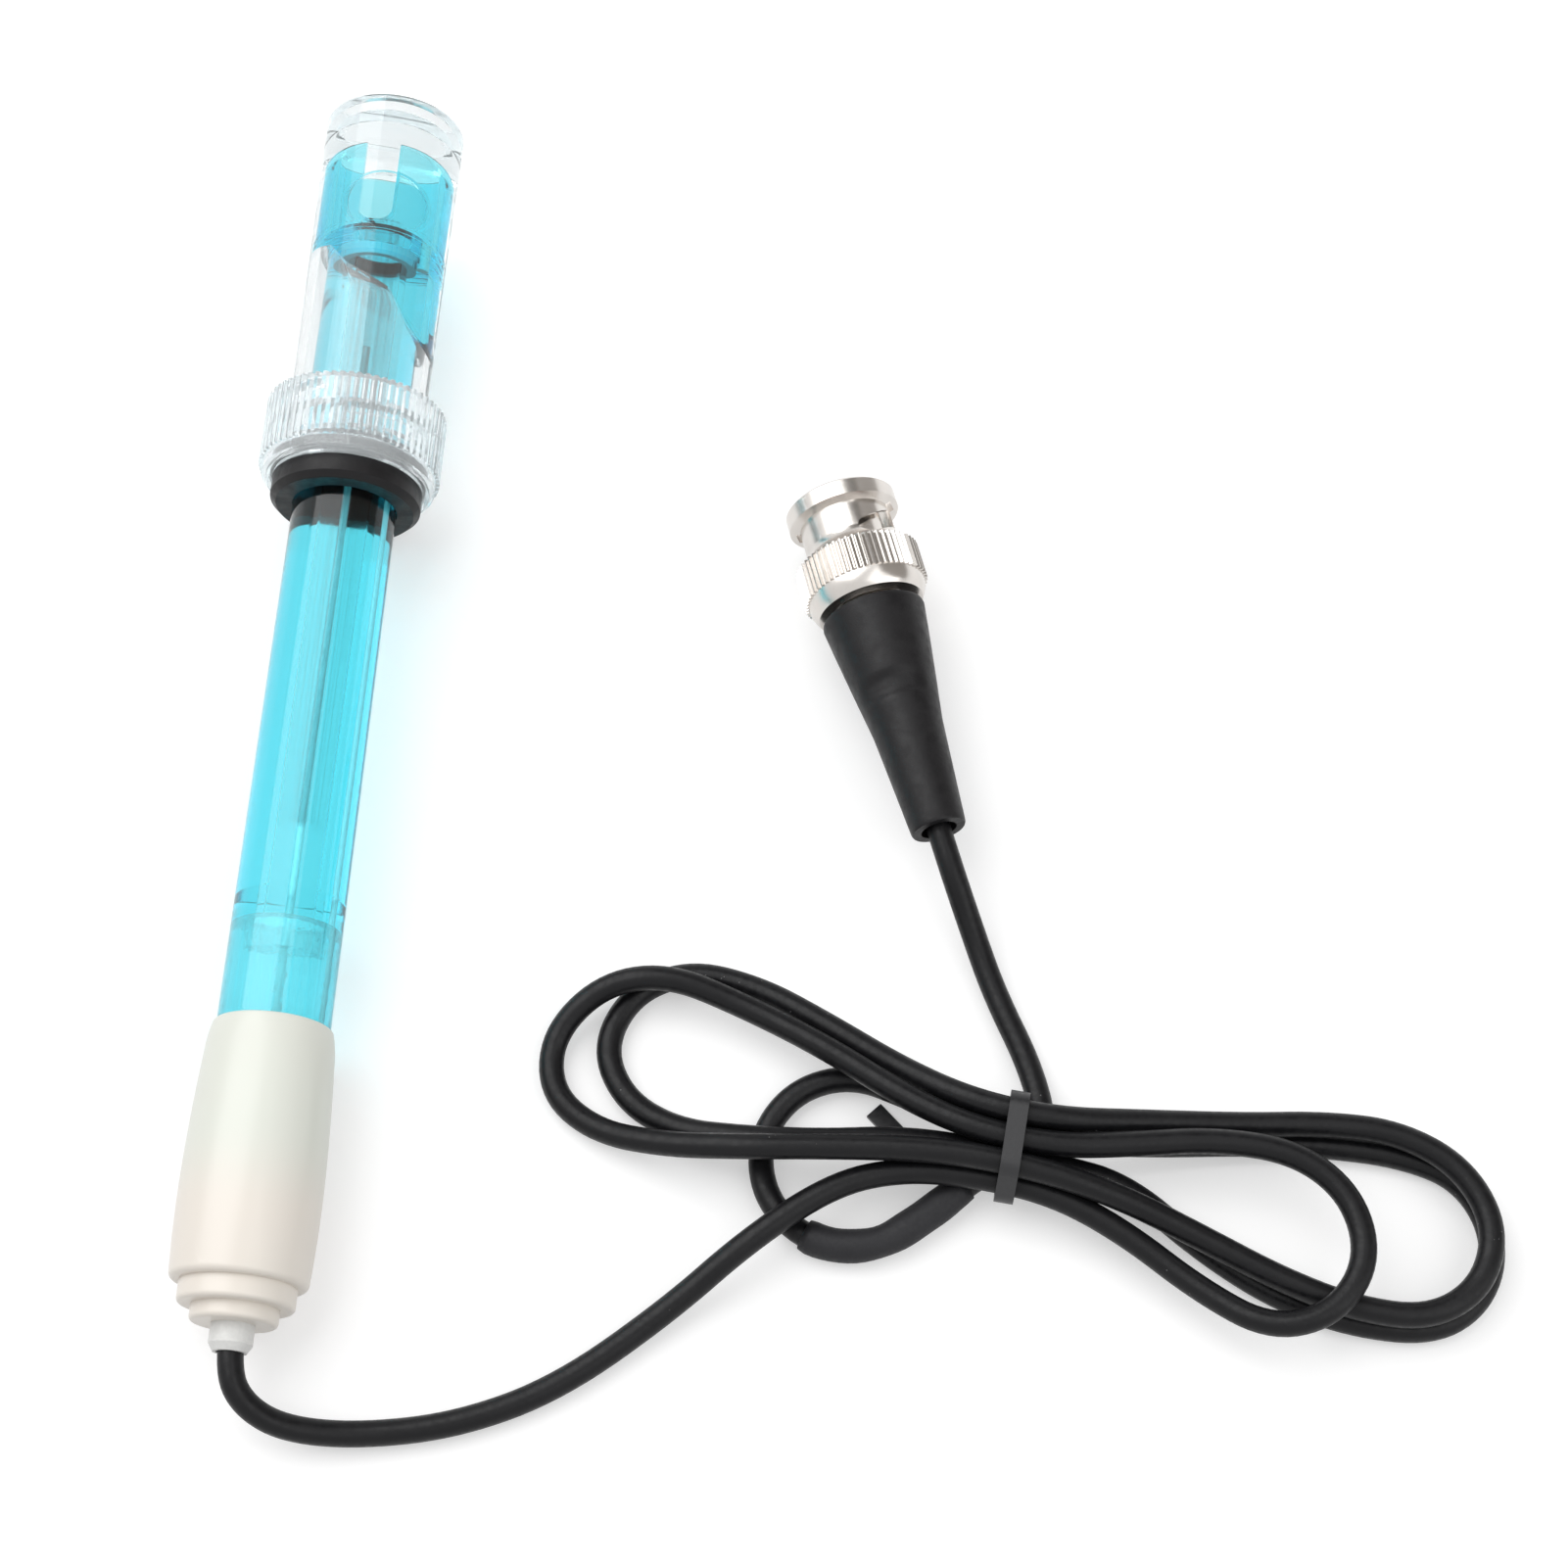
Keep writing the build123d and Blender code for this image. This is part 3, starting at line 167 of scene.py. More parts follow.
# The cable's way: out of the nozzle, three times round the hank's two loops, then to the plug
CABLE_ROUTE = [
    on_axis(0.0026),
    on_axis(-0.0018),
    (0.0020, -0.0778, 0.0056),
    (0.0061, -0.0794, 0.0034),
    (0.0134, -0.0792, 0.0017),
    (0.0230, -0.0774, FLOOR),
    (0.0328, -0.0730, FLOOR),
    (0.0433, -0.0644, 0.0018),
    (0.0510, -0.0574, 0.0049),
    (0.0593, -0.0510, 0.0051),
    (0.0663, -0.0489, 0.0049),
    (TIE_LEFT, -0.0490, LOW),
    (TIE_RIGHT, -0.0504, LOW),
    (0.0896, -0.0539, 0.0042),
    (0.0972, -0.0594, 0.0043),
    (0.1044, -0.0635, 0.0059),
    (0.1108, -0.0616, 0.0069),
    (0.1142, -0.0558, 0.0069),
    (0.1125, -0.0492, 0.0069),
    (0.1069, -0.0450, 0.0069),
    (0.0985, -0.0442, 0.0069),
    (0.0900, -0.0453, 0.0070),
    (TIE_RIGHT, -0.0461, TOP),
    (TIE_LEFT, -0.04475, TOP),
    (0.0665, -0.0416, 0.0063),
    (0.0577, -0.0360, 0.0047),
    (0.0488, -0.0316, 0.0036),
    (0.0405, -0.0290, 0.0049),
    (0.0335, -0.0302, 0.0038),
    (0.0285, -0.0355, 0.0017),
    (0.0289, -0.0419, FLOOR),
    (0.0341, -0.0459, 0.0017),
    (0.0415, -0.0477, 0.0045),
    (0.0492, -0.0482, 0.0071),
    (0.0575, -0.0477, 0.0072),
    (0.0660, -0.0473, TOP),
    (TIE_LEFT, -0.04755, TOP),
    (TIE_RIGHT, -0.0490, TOP),
    (0.0896, -0.0509, 0.0059),
    (0.0976, -0.0541, 0.0045),
    (0.1056, -0.0578, 0.00415),
    (0.1134, -0.0604, 0.00415),
    (0.1209, -0.0609, 0.00415),
    (0.1263, -0.0571, 0.00415),
    (0.1278, -0.0507, 0.00415),
    (0.1244, -0.0446, 0.00415),
    (0.1178, -0.0413, 0.00415),
    (0.1102, -0.0409, 0.00415),
    (0.1020, -0.0416, 0.0042),
    (0.0915, -0.0422, 0.0050),
    (TIE_RIGHT, -0.04325, TOP),
    (TIE_LEFT, -0.0419, TOP),
    (0.0660, -0.0379, 0.0043),
    (0.0575, -0.0329, 0.0032),
    (0.0502, -0.0288, 0.0017),
    (0.0425, -0.0272, FLOOR),
    (0.0365, -0.0303, FLOOR),
    (0.0340, -0.0365, FLOOR),
    (0.0368, -0.0422, FLOOR),
    (0.0425, -0.0454, 0.0022),
    (0.0495, -0.0464, 0.0043),
    (0.0575, -0.0463, 0.0044),
    (0.0660, -0.0455, 0.0046),
    (TIE_LEFT, -0.04615, LOW),
    (TIE_RIGHT, -0.0475, LOW),
    (0.0898, -0.0484, 0.0027),
    (0.0978, -0.0544, FLOOR),
    (0.1058, -0.0591, FLOOR),
    (0.1138, -0.0614, FLOOR),
    (0.1221, -0.0616, FLOOR),
    (0.1272, -0.0574, FLOOR),
    (0.1283, -0.0509, FLOOR),
    (0.1250, -0.0452, FLOOR),
    (0.1188, -0.0430, FLOOR),
    (0.1108, -0.0424, FLOOR),
    (0.1025, -0.0427, FLOOR),
    (0.0910, -0.0439, 0.0022),
    (TIE_RIGHT, -0.0447, LOW),
    (TIE_LEFT, -0.04335, LOW),
    (0.0674, -0.0404, 0.0022),
    (0.0608, -0.0378, FLOOR),
    (0.0546, -0.0400, FLOOR),
    (0.0512, -0.0457, FLOOR),
    (0.0524, -0.0522, FLOOR),
    (0.0575, -0.0565, 0.0016),
    (0.0641, -0.0566, 0.00195),
    (0.0692, -0.0529, 0.00195),
    (0.0739, -0.0487, UNDER),
    (0.0815, -0.0433, UNDER),
    (0.0797, -0.0360, 0.0015),
    (0.0755, -0.0278, FLOOR),
    (0.0726, -0.0208, 0.0028),
    on_plug(0.0445),
    on_plug(0.0365),
]


class Signal:
    """One output of a shader node; sums on it add Math nodes."""

    def __init__(self, owner, socket):
        self.owner = owner
        self.socket = socket

    def maths(self, operation, first, second):
        return self.owner.node("ShaderNodeMath", {"operation": operation}, {0: first, 1: second})

    def __add__(self, other):
        return self.maths("ADD", self, other)

    __radd__ = __add__

    def __mul__(self, other):
        return self.maths("MULTIPLY", self, other)

    __rmul__ = __mul__

    def __gt__(self, other):
        return self.maths("GREATER_THAN", self, other)

    def __lt__(self, other):
        return self.maths("LESS_THAN", self, other)


class Nodes:
    """A node tree, and the one way to add a node to it."""

    def __init__(self, tree):
        self.tree = tree

    def put(self, socket, value):
        if isinstance(value, Signal):
            self.tree.links.new(value.socket, socket)
        elif isinstance(value, (tuple, list)) and socket.type == "RGBA":
            socket.default_value = (*value, 1.0)[:4]
        else:
            socket.default_value = value

    def node(self, kind, settings=None, values=None, out=0):
        made = self.tree.nodes.new(kind)
        for name, value in (settings or {}).items():
            if name == "stops":
                self.stops(made.color_ramp.elements, value)
            else:
                setattr(made, name, value)
        for key, value in (values or {}).items():
            self.put(made.inputs[key], value)
        return Signal(self, made.outputs[out])

    def stops(self, elements, pairs):
        """Sets a ramp's grey levels at their positions."""
        elements.remove(elements[1])
        elements[0].position = pairs[0][0]
        elements[0].color = (*[pairs[0][1]] * 3, 1)
        for position, level in pairs[1:]:
            elements.new(position).color = (*[level] * 3, 1)

    def larger(self, first, second):
        """The larger of two values."""
        return self.node("ShaderNodeMath", {"operation": "MAXIMUM"}, {0: first, 1: second})

    def ray(self, kind):
        """1 where the ray is of this kind."""
        return self.node("ShaderNodeLightPath", out="Is " + kind + " Ray")


class Finish(Nodes):
    """A material with its Principled shader."""

    def __init__(self, name, **sockets):
        self.material = bpy.data.materials.new(name)
        self.material.use_nodes = True
        super().__init__(self.material.node_tree)
        self.shader = self.tree.nodes["Principled BSDF"]
        self.output = self.tree.nodes["Material Output"]
        self.set(**sockets)

    def fill_in(self, shader, sockets):
        for name, value in sockets.items():
            self.put(shader.inputs[name.replace("_", " ")], value)

    def set(self, **sockets):
        self.fill_in(self.shader, sockets)

    def skin(self):
        """The surface that the material's own Principled shader gives."""
        return Signal(self, self.shader.outputs[0])

    def second_skin(self, **sockets):
        """The surface that a further Principled shader gives."""
        made = self.node("ShaderNodeBsdfPrincipled")
        self.fill_in(made.socket.node, sockets)
        return made

    def open_way(self, colour):
        """A surface that lets light straight through."""
        return self.node("ShaderNodeBsdfTransparent", None, {"Color": colour})

    def blend(self, factor, first, second):
        """A surface between two others."""
        return self.node("ShaderNodeMixShader", None, {0: factor, 1: first, 2: second})

    def surface(self, signal):
        self.put(self.output.inputs["Surface"], signal)

    def light_passes(self, surface, colour):
        """Lamps shine through a clear solid instead of leaving a solid shadow."""
        self.surface(self.blend(self.ray("Shadow"), surface, self.open_way(colour)))

    def through(self, volume_colour, density):
        """Tints what is seen through the solid by its thickness."""
        tint = self.node(
            "ShaderNodeVolumeAbsorption", None, {"Color": volume_colour, "Density": density}
        )
        self.put(self.output.inputs["Volume"], tint)

    def place(self):
        return self.node("ShaderNodeTexCoord", out="Object")

    def offset(self, start):
        """The way from a place to the point, as a vector."""
        return self.node(
            "ShaderNodeVectorMath", {"operation": "SUBTRACT"}, {0: self.place(), 1: start}
        )

    def along(self, start, direction):
        """How far a point lies along a line, in metres."""
        values = {0: self.offset(start), 1: direction}
        return self.node("ShaderNodeVectorMath", {"operation": "DOT_PRODUCT"}, values, "Value")

    def off_line(self, start, direction):
        """How far a point lies from a line, in metres."""
        values = {0: self.offset(start), 1: direction}
        turned = self.node("ShaderNodeVectorMath", {"operation": "CROSS_PRODUCT"}, values)
        return self.node("ShaderNodeVectorMath", {"operation": "LENGTH"}, {0: turned}, "Value")

    def station(self):
        """How far along the electrode a point lies."""
        return self.along(tuple(AXIS_START), tuple(AXIS))

    def radius(self):
        """How far from the electrode's line a point lies."""
        return self.off_line(tuple(AXIS_START), tuple(AXIS))

    def spread(self, signal, low, high, to_low=0.0, to_high=1.0):
        """A value carried from one span to another, smoothly and never past its ends."""
        return self.node(
            "ShaderNodeMapRange",
            {"interpolation_type": "SMOOTHSTEP"},
            {"Value": signal, 1: low, 2: high, 3: to_low, 4: to_high},
        )

    def noise(self, scale, detail=3.0, roughness=0.5):
        values = {
            "Vector": self.place(),
            "Scale": scale,
            "Detail": detail,
            "Roughness": roughness,
        }
        return self.node("ShaderNodeTexNoise", None, values)

    def mix(self, factor, first, second):
        """A colour between two others."""
        values = {"Factor": factor, 6: first, 7: second}
        return self.node("ShaderNodeMix", {"data_type": "RGBA"}, values, 2)

    def bump(self, height, depth, strength=1.0):
        """Lifts the surface by height times depth, in metres."""
        return self.node(
            "ShaderNodeBump", None, {"Height": height, "Distance": depth, "Strength": strength}
        )


def dress(finish, *names):
    """Gives CAD nodes their finish."""
    for name in names:
        mesh = nodes[name].data
        mesh.materials.clear()
        mesh.materials.append(finish.material)


def solution_edge(finish):
    """1 where the storage solution stands: beyond its slanted free surface, across the bottle."""
    across = finish.along((-SOLUTION_REACH, 0, 0), (0.5 / SOLUTION_REACH, 0, 0))
    stops = [((side + 1) / 2, rise) for side, rise in SOLUTION_SURFACE]
    level = finish.node("ShaderNodeValToRGB", {"stops": stops}, {"Fac": across})
    return finish.station() > level * SOLUTION_RISE + SOLUTION_LOW


def blue_body():
    """Clear blue moulded tube: less contrast where gel or solution wets it."""
    finish = Finish("blue_moulded_plastic")
    wet = finish.larger(finish.radius() < BODY_FACE_RADIUS, solution_edge(finish))
    tint = (0.55, 0.92, 0.97)
    drawn = finish.noise(420.0, 2.0)
    smooth = finish.bump(drawn, 0.00003, 0.25)
    finish.set(
        Base_Color=tint, Roughness=0.09, IOR=1.45, Transmission_Weight=1.0, Normal=smooth
    )
    soaked = finish.second_skin(
        Base_Color=tint, Roughness=0.02, IOR=1.09, Transmission_Weight=1.0
    )
    finish.light_passes(finish.blend(wet, finish.skin(), soaked), (1.0, 0.84, 0.82))
    finish.through((0.05, 0.88, 0.945), 450.0)
    return finish


def clear_moulding(name, tint, wet_inside, bend, clearness):
    """Clear hard plastic of the bottle and its nut."""
    finish = Finish(name)
    ripple = finish.noise(260.0, 2.0)
    finish.set(
        Base_Color=tint,
        Roughness=0.03,
        IOR=bend,
        Transmission_Weight=clearness,
        Normal=finish.bump(ripple, 0.00005, 0.3),
    )
    surface = finish.skin()
    if wet_inside:
        inner_face = finish.radius() < BOTTLE_FACE_RADIUS
        wet = solution_edge(finish) * inner_face * (finish.station() < BOTTLE_FACE_END)
        soaked = finish.second_skin(
            Base_Color=tint, Roughness=0.02, IOR=1.07, Transmission_Weight=1.0
        )
        surface = finish.blend(wet, surface, soaked)
    finish.light_passes(surface, (0.97, 0.98, 0.98))
    finish.through((0.70, 0.84, 0.87), 45.0)
    return finish


def free_surface():
    """The storage solution's upper face, which bends light."""
    finish = Finish("storage_solution_surface")
    ripple = finish.noise(300.0, 2.0)
    finish.set(
        Base_Color=(1, 1, 1),
        Roughness=0.0,
        IOR=1.05,
        Transmission_Weight=1.0,
        Normal=finish.bump(ripple, 0.0001, 0.3),
    )
    finish.light_passes(finish.skin(), (1, 1, 1))
    return finish


def wetted_side():
    """The storage solution's sides, which the bottle's wall shows for them."""
    finish = Finish("storage_solution_side")
    finish.surface(finish.open_way((1, 1, 1)))
    return finish


def inner_glass():
    """Thin glass of the stem and bulb, in liquid on both sides."""
    finish = Finish("thin_glass")
    finish.set(
        Base_Color=(0.97, 1.0, 1.0), Roughness=0.02, IOR=1.06, Transmission_Weight=1.0
    )
    finish.light_passes(finish.skin(), (0.97, 1.0, 1.0))
    return finish


def filling(name, end_station):
    """Gel or buffer that fills a space whole: only its free end bends light."""
    finish = Finish(name)
    finish.set(Base_Color=(1, 1, 1), Roughness=0.02, IOR=1.12, Transmission_Weight=1.0)
    end = finish.station() < end_station
    finish.surface(finish.blend(end, finish.open_way((1, 1, 1)), finish.skin()))
    return finish


def clear_resin():
    """Clear resin that closes the body's upper end, crumpled where it set."""
    finish = Finish("seal_resin")
    folds = finish.noise(420.0, 4.0, 0.6)
    finish.set(
        Base_Color=(0.90, 0.97, 0.98),
        Roughness=0.08,
        IOR=1.16,
        Transmission_Weight=0.75,
        Normal=finish.bump(folds, 0.0006, 0.8),
    )
    finish.light_passes(finish.skin(), (0.95, 0.98, 0.98))
    return finish


def cream_cap():
    """Matt cream moulding, a little warmer towards the cable."""
    finish = Finish("cream_moulding")
    cool = finish.spread(finish.station(), 0.013, 0.022)
    cloud = finish.noise(90.0, 3.0)
    base = finish.mix(cool, (0.80, 0.745, 0.675), (0.74, 0.76, 0.69))
    base = finish.mix(finish.spread(cloud, 0.35, 0.75, 0.0, 0.2), base, (0.72, 0.70, 0.64))
    grain = finish.noise(5200.0, 2.0)
    finish.set(
        Base_Color=base,
        Roughness=finish.spread(cloud, 0.3, 0.7, 0.29, 0.36),
        Normal=finish.bump(grain, 0.00001, 0.25),
    )
    return finish


def black_cable(name, dark, light, roughness, coarse):
    """Black vinyl with a fine matt skin and a little dust."""
    finish = Finish(name)
    specks = finish.node(
        "ShaderNodeTexVoronoi", None, {"Vector": finish.place(), "Scale": 950.0}, "Distance"
    )
    patch = finish.noise(60.0, 2.0)
    dust = (specks < 0.075) * (patch > 0.62)
    shade = finish.mix(finish.noise(300.0, 2.0), dark, light)
    grain = finish.noise(coarse, 3.0)
    finish.set(
        Base_Color=finish.mix(dust * 0.25, shade, (0.45, 0.45, 0.45)),
        Roughness=finish.spread(grain, 0.3, 0.7, roughness, roughness + 0.16),
        Specular_IOR_Level=0.22,
        Normal=finish.bump(grain, 0.00008, 0.35),
    )
    return finish


def black_rubber():
    """Dull black rubber of the boot and the gasket."""
    finish = Finish("black_rubber")
    mottle = finish.noise(700.0, 4.0, 0.6)
    fine = finish.noise(6000.0, 2.0)
    finish.set(
        Base_Color=finish.mix(mottle, (0.006, 0.006, 0.007), (0.013, 0.012, 0.013)),
        Specular_IOR_Level=0.24,
        Roughness=finish.spread(mottle, 0.3, 0.75, 0.36, 0.56),
        Normal=finish.bump(mottle + fine * 0.4, 0.00008, 0.5),
    )
    return finish


def turned_metal(name, colour, roughness):
    """Plated metal with the fine rings that turning leaves round the plug's line."""
    finish = Finish(name)
    distance = finish.along(tuple(PLUG_FRONT), tuple(PLUG_AXIS))
    rings = finish.node(
        "ShaderNodeTexNoise",
        {"noise_dimensions": "1D"},
        {"W": distance, "Scale": 2600.0, "Detail": 3.0},
    )
    smudge = finish.noise(180.0, 4.0)
    darker = tuple(0.86 * part for part in colour)
    finish.set(
        Base_Color=finish.mix(finish.spread(smudge, 0.35, 0.7), colour, darker),
        Metallic=1.0,
        Roughness=finish.spread(smudge, 0.3, 0.75, roughness, roughness + 0.06),
        Normal=finish.bump(rings, 0.00001, 0.25),
    )
    return finish


def plain_moulding(name, colour, roughness):
    """A small moulded part of one colour with a fine grain."""
    finish = Finish(name)
    grain = finish.noise(2400.0, 3.0)
    darker = tuple(0.82 * part for part in colour)
    finish.set(
        Base_Color=finish.mix(grain, colour, darker),
        Roughness=finish.spread(grain, 0.3, 0.7, roughness, roughness + 0.12),
        Normal=finish.bump(grain, 0.00003, 0.3),
    )
    return finish


def drawn_wire(name, colour):
    """Silver wire, dulled, with fine drawing marks."""
    finish = Finish(name)
    marks = finish.noise(3000.0, 2.0)
    darker = tuple(0.85 * part for part in colour)
    finish.set(
        Base_Color=finish.mix(marks, colour, darker),
        Metallic=0.15,
        Roughness=finish.spread(marks, 0.3, 0.7, 0.45, 0.6),
    )
    return finish


def spline_curve(name, points, radius):
    """A smooth curve with these control points, round if it has a radius."""
    data = bpy.data.curves.new(name, "CURVE")
    data.dimensions = "3D"
    data.resolution_u = 8
    data.bevel_depth = radius
    data.bevel_resolution = 5
    data.use_fill_caps = radius > 0
    line = data.splines.new("NURBS")
    line.points.add(len(points) - 1)
    for spot, point in zip(line.points, points):
        spot.co = (*point, 1.0)
    line.order_u = 3
    line.use_endpoint_u = True
    made = bpy.data.objects.new(name, data)
    bpy.context.scene.collection.objects.link(made)
    return made


def middle_line(points):
    """The points that the smooth curve runs through."""
    guide = spline_curve("guide", points, 0.0)
    bpy.context.view_layer.update()
    mesh = bpy.data.meshes.new_from_object(guide)
    line = [vertex.co.copy() for vertex in mesh.vertices]
    data = guide.data
    bpy.data.objects.remove(guide)
    bpy.data.curves.remove(data)
    bpy.data.meshes.remove(mesh)
    return line


def nearest(line, spot):
    """Which point of a line lies nearest to a place seen from above."""
    return min(range(len(line)), key=lambda i: (line[i].xy - Vector(spot)).length)


def between(pairs, place):
    """A value read off pairs of place and value: straight between two, level after the last."""
    for (near, low), (far, high) in zip(pairs, pairs[1:]):
        if place <= far:
            return low + (high - low) * (place - near) / (far - near)
    return pairs[-1][1]


def round_turns(sides):
    return [2 * math.pi * step / sides for step in range(sides)]


def made_object(name, shape):
    """Turns a built shape into an object."""
    mesh = bpy.data.meshes.new(name)
    shape.to_mesh(mesh)
    shape.free()
    made = bpy.data.objects.new(name, mesh)
    bpy.context.scene.collection.objects.link(made)
    return made


def skin_rings(shape, rings):
    """Skins a row of rings into a closed body with smooth sides and flat ends."""
    for near, far in zip(rings, rings[1:]):
        for step in range(len(near)):
            after = (step + 1) % len(near)
            shape.faces.new((near[step], near[after], far[after], far[step]))
    shape.faces.new(rings[0][::-1])
    shape.faces.new(rings[-1])
    bmesh.ops.recalc_face_normals(shape, faces=shape.faces)
    for face in shape.faces:
        face.smooth = len(face.verts) == 4


def swept_tube(name, line, radii, sides=28):
    """A closed tube along a line, with a radius at each of its points."""
    shape = bmesh.new()
    rings = []
    for index, point in enumerate(line):
        ahead = line[min(index + 1, len(line) - 1)]
        behind = line[max(index - 1, 0)]
        tangent = (ahead - behind).normalized()
        across = tangent.cross(UP).normalized()
        rise = across.cross(tangent)
        ring = []
        for turn in round_turns(sides):
            side = across * math.cos(turn) + rise * math.sin(turn)
            ring.append(shape.verts.new(point + radii[index] * side))
        rings.append(ring)
    skin_rings(shape, rings)
    return made_object(name, shape)


def gel_fill():
    """The gel in the body: one plain column, so that light crosses it only twice."""
    shares = [step / GEL_STEPS for step in range(GEL_STEPS + 1)]
    line = [on_axis(GEL_START + (GEL_END - GEL_START) * share) for share in shares]
    radii = [GEL_RADIUS_LOW + (GEL_RADIUS_TIP - GEL_RADIUS_LOW) * share for share in shares]
    return swept_tube("gel_fill", line, radii, ROUND_SIDES)


def shrink_sleeve(line):
    """Matt sleeve shrunk on the cable, a little narrower at its two ends."""
    first = nearest(line, SLEEVE_START)
    last = nearest(line[first:], SLEEVE_END) + first
    span = line[first : last + 1]
    radii = []
    for index in range(len(span)):
        share = index / (len(span) - 1)
        pinch = 0.03 * math.sin(11 * share) + 0.02 * math.sin(23 * share + 1.0)
        end = 1.0 if 0 < index < len(span) - 1 else 0.94
        radii.append(SLEEVE_DIAMETER / 2 * end * (1 + pinch - 0.03))
    return swept_tube("sleeve_skin", span, radii)


def dimpled_reach(distance, turn):
    """The boot's radius, with the thumb dimple pressed in."""
    reach = between(BOOT_PROFILE, distance)
    along_dimple = (distance - DIMPLE_DISTANCE) / DIMPLE_HALF_LENGTH
    round_dimple = (turn - DIMPLE_TURN) * reach / DIMPLE_HALF_WIDTH
    return reach - DIMPLE_DEPTH * math.exp(-(along_dimple**4) - round_dimple**4)


def boot_ring(shape, distance, reaches):
    """One ring of the boot, with a radius at each of its turns."""
    ring = []
    for turn, reach in zip(round_turns(BOOT_SIDES), reaches):
        side = PLUG_SIDE * math.cos(turn) + UP * math.sin(turn)
        ring.append(shape.verts.new(on_plug(distance) + side * reach))
    return ring


def rubber_boot():
    """Tapered boot with a shallow thumb dimple, open at its end where the cable comes out."""
    taper = [BOOT_TAPER_LENGTH * step / BOOT_TAPER_STEPS for step in range(1, BOOT_TAPER_STEPS + 1)]
    distances = BOOT_FRONT + [BOOT_TAPER_START + way for way in taper] + BOOT_BACK
    shape = bmesh.new()
    rings = []
    for distance in distances:
        reaches = [dimpled_reach(distance, turn) for turn in round_turns(BOOT_SIDES)]
        rings.append(boot_ring(shape, distance, reaches))
    for distance, reach in BOOT_MOUTH:
        rings.append(boot_ring(shape, distance, [reach] * BOOT_SIDES))
    skin_rings(shape, rings)
    for edge in shape.edges:
        edge.smooth = len(edge.link_faces) < 2 or edge.calc_face_angle() < SHARP_TURN
    return made_object("boot_skin", shape)


def solution_level(side):
    """The station of the solution's free surface, at a share of the reach across the bottle."""
    share = between(SOLUTION_SURFACE, max(-1.0, min(1.0, side)))
    return SOLUTION_LOW + SOLUTION_RISE * share


def solution_reach(station):
    """The solution's radius: the bottle's bore less a small gap."""
    return BORE_RADIUS + BORE_SPREAD * (station - BORE_START) / BORE_LENGTH - SOLUTION_GAP


def solution_rings(shape, turns):
    """Rings over the free surface, from the middle out, and then down the bottle's wall."""
    up = AXIS.cross(Vector((1, 0, 0)))

    def spot(radius, turn, station):
        side = Vector((radius * math.cos(turn), 0, 0)) + up * radius * math.sin(turn)
        return shape.verts.new(on_axis(station) + side)

    def level(reach, turn):
        return solution_level(reach * math.cos(turn) / SOLUTION_REACH)

    rings = []
    brim_reach = solution_reach(SURFACE_STATION)
    for step in range(1, SURFACE_RINGS + 1):
        reach = brim_reach * step / SURFACE_RINGS
        rings.append([spot(reach, turn, level(reach, turn)) for turn in turns])
    brim = [level(brim_reach, turn) for turn in turns]
    for row in range(1, WALL_RINGS + 1):
        heights = [high + (SOLUTION_BOTTOM - high) * row / WALL_RINGS for high in brim]
        rings.append([spot(solution_reach(h), turn, h) for turn, h in zip(turns, heights)])
    return spot(0.0, 0.0, solution_level(0.0)), rings


def storage_solution():
    """The liquid in the bottle, with its slanted free surface; it wets the bottle and the body."""
    shape = bmesh.new()
    top, rings = solution_rings(shape, round_turns(ROUND_SIDES))
    for step in range(ROUND_SIDES):
        shape.faces.new((top, rings[0][step], rings[0][(step + 1) % ROUND_SIDES]))
    for index, (near, far) in enumerate(zip(rings, rings[1:])):
        for step in range(ROUND_SIDES):
            after = (step + 1) % ROUND_SIDES
            face = shape.faces.new((near[step], far[step], far[after], near[after]))
            face.material_index = 0 if index < SURFACE_RINGS - 1 else 1
    base = shape.faces.new(rings[-1])
    base.material_index = 1
    bmesh.ops.recalc_face_normals(shape, faces=shape.faces)
    for face in shape.faces:
        face.smooth = face is not base
    made = made_object("solution_in_bottle", shape)
    made.data.materials.append(free_surface().material)
    made.data.materials.append(wetted_side().material)
    return made


def flat_square(name, size):
    """A flat square sheet; its size is half its side."""
    sheet = bmesh.new()
    bmesh.ops.create_grid(sheet, x_segments=1, y_segments=1, size=size)
    return made_object(name, sheet)


def aim(made, place):
    """Sets an object in its place, turned to what the lamps and cards face."""
    made.location = place
    made.rotation_euler = (Vector(LIT_SPOT) - Vector(place)).to_track_quat("-Z", "Y").to_euler()


def studio():
    """Pale floor: lit for the lens and for shiny surfaces, and plain white through clear ones."""
    floor = flat_square("floor", 3.0)
    pale = Finish("pale_floor", Roughness=0.9, Emission_Strength=0.43)
    seen = pale.larger(pale.ray("Camera"), pale.ray("Glossy"))
    pale.set(
        Base_Color=(0.64, 0.64, 0.64),
        Emission_Color=pale.mix(seen, (0, 0, 0), (1, 1, 1)),
    )
    white = pale.node("ShaderNodeEmission", None, {"Color": (1, 1, 1), "Strength": 1.0})
    pale.surface(pale.blend(pale.ray("Transmission"), pale.skin(), white))
    floor.data.materials.append(pale.material)


def surround():
    """White all round for the lens, metal and clear plastic, and dimmer as a light."""
    world = bpy.data.worlds.new("surround")
    bpy.context.scene.world = world
    world.use_nodes = True
    sky = Nodes(world.node_tree)
    seen = sky.larger(sky.ray("Camera"), sky.ray("Glossy"))
    seen = sky.larger(seen, sky.ray("Transmission"))
    ends = {"Value": seen, "To Min": 0.42, "To Max": 1.0}
    backdrop = sky.tree.nodes["Background"]
    sky.put(backdrop.inputs["Strength"], sky.node("ShaderNodeMapRange", None, ends))
    sky.put(backdrop.inputs["Color"], (1, 1, 1))


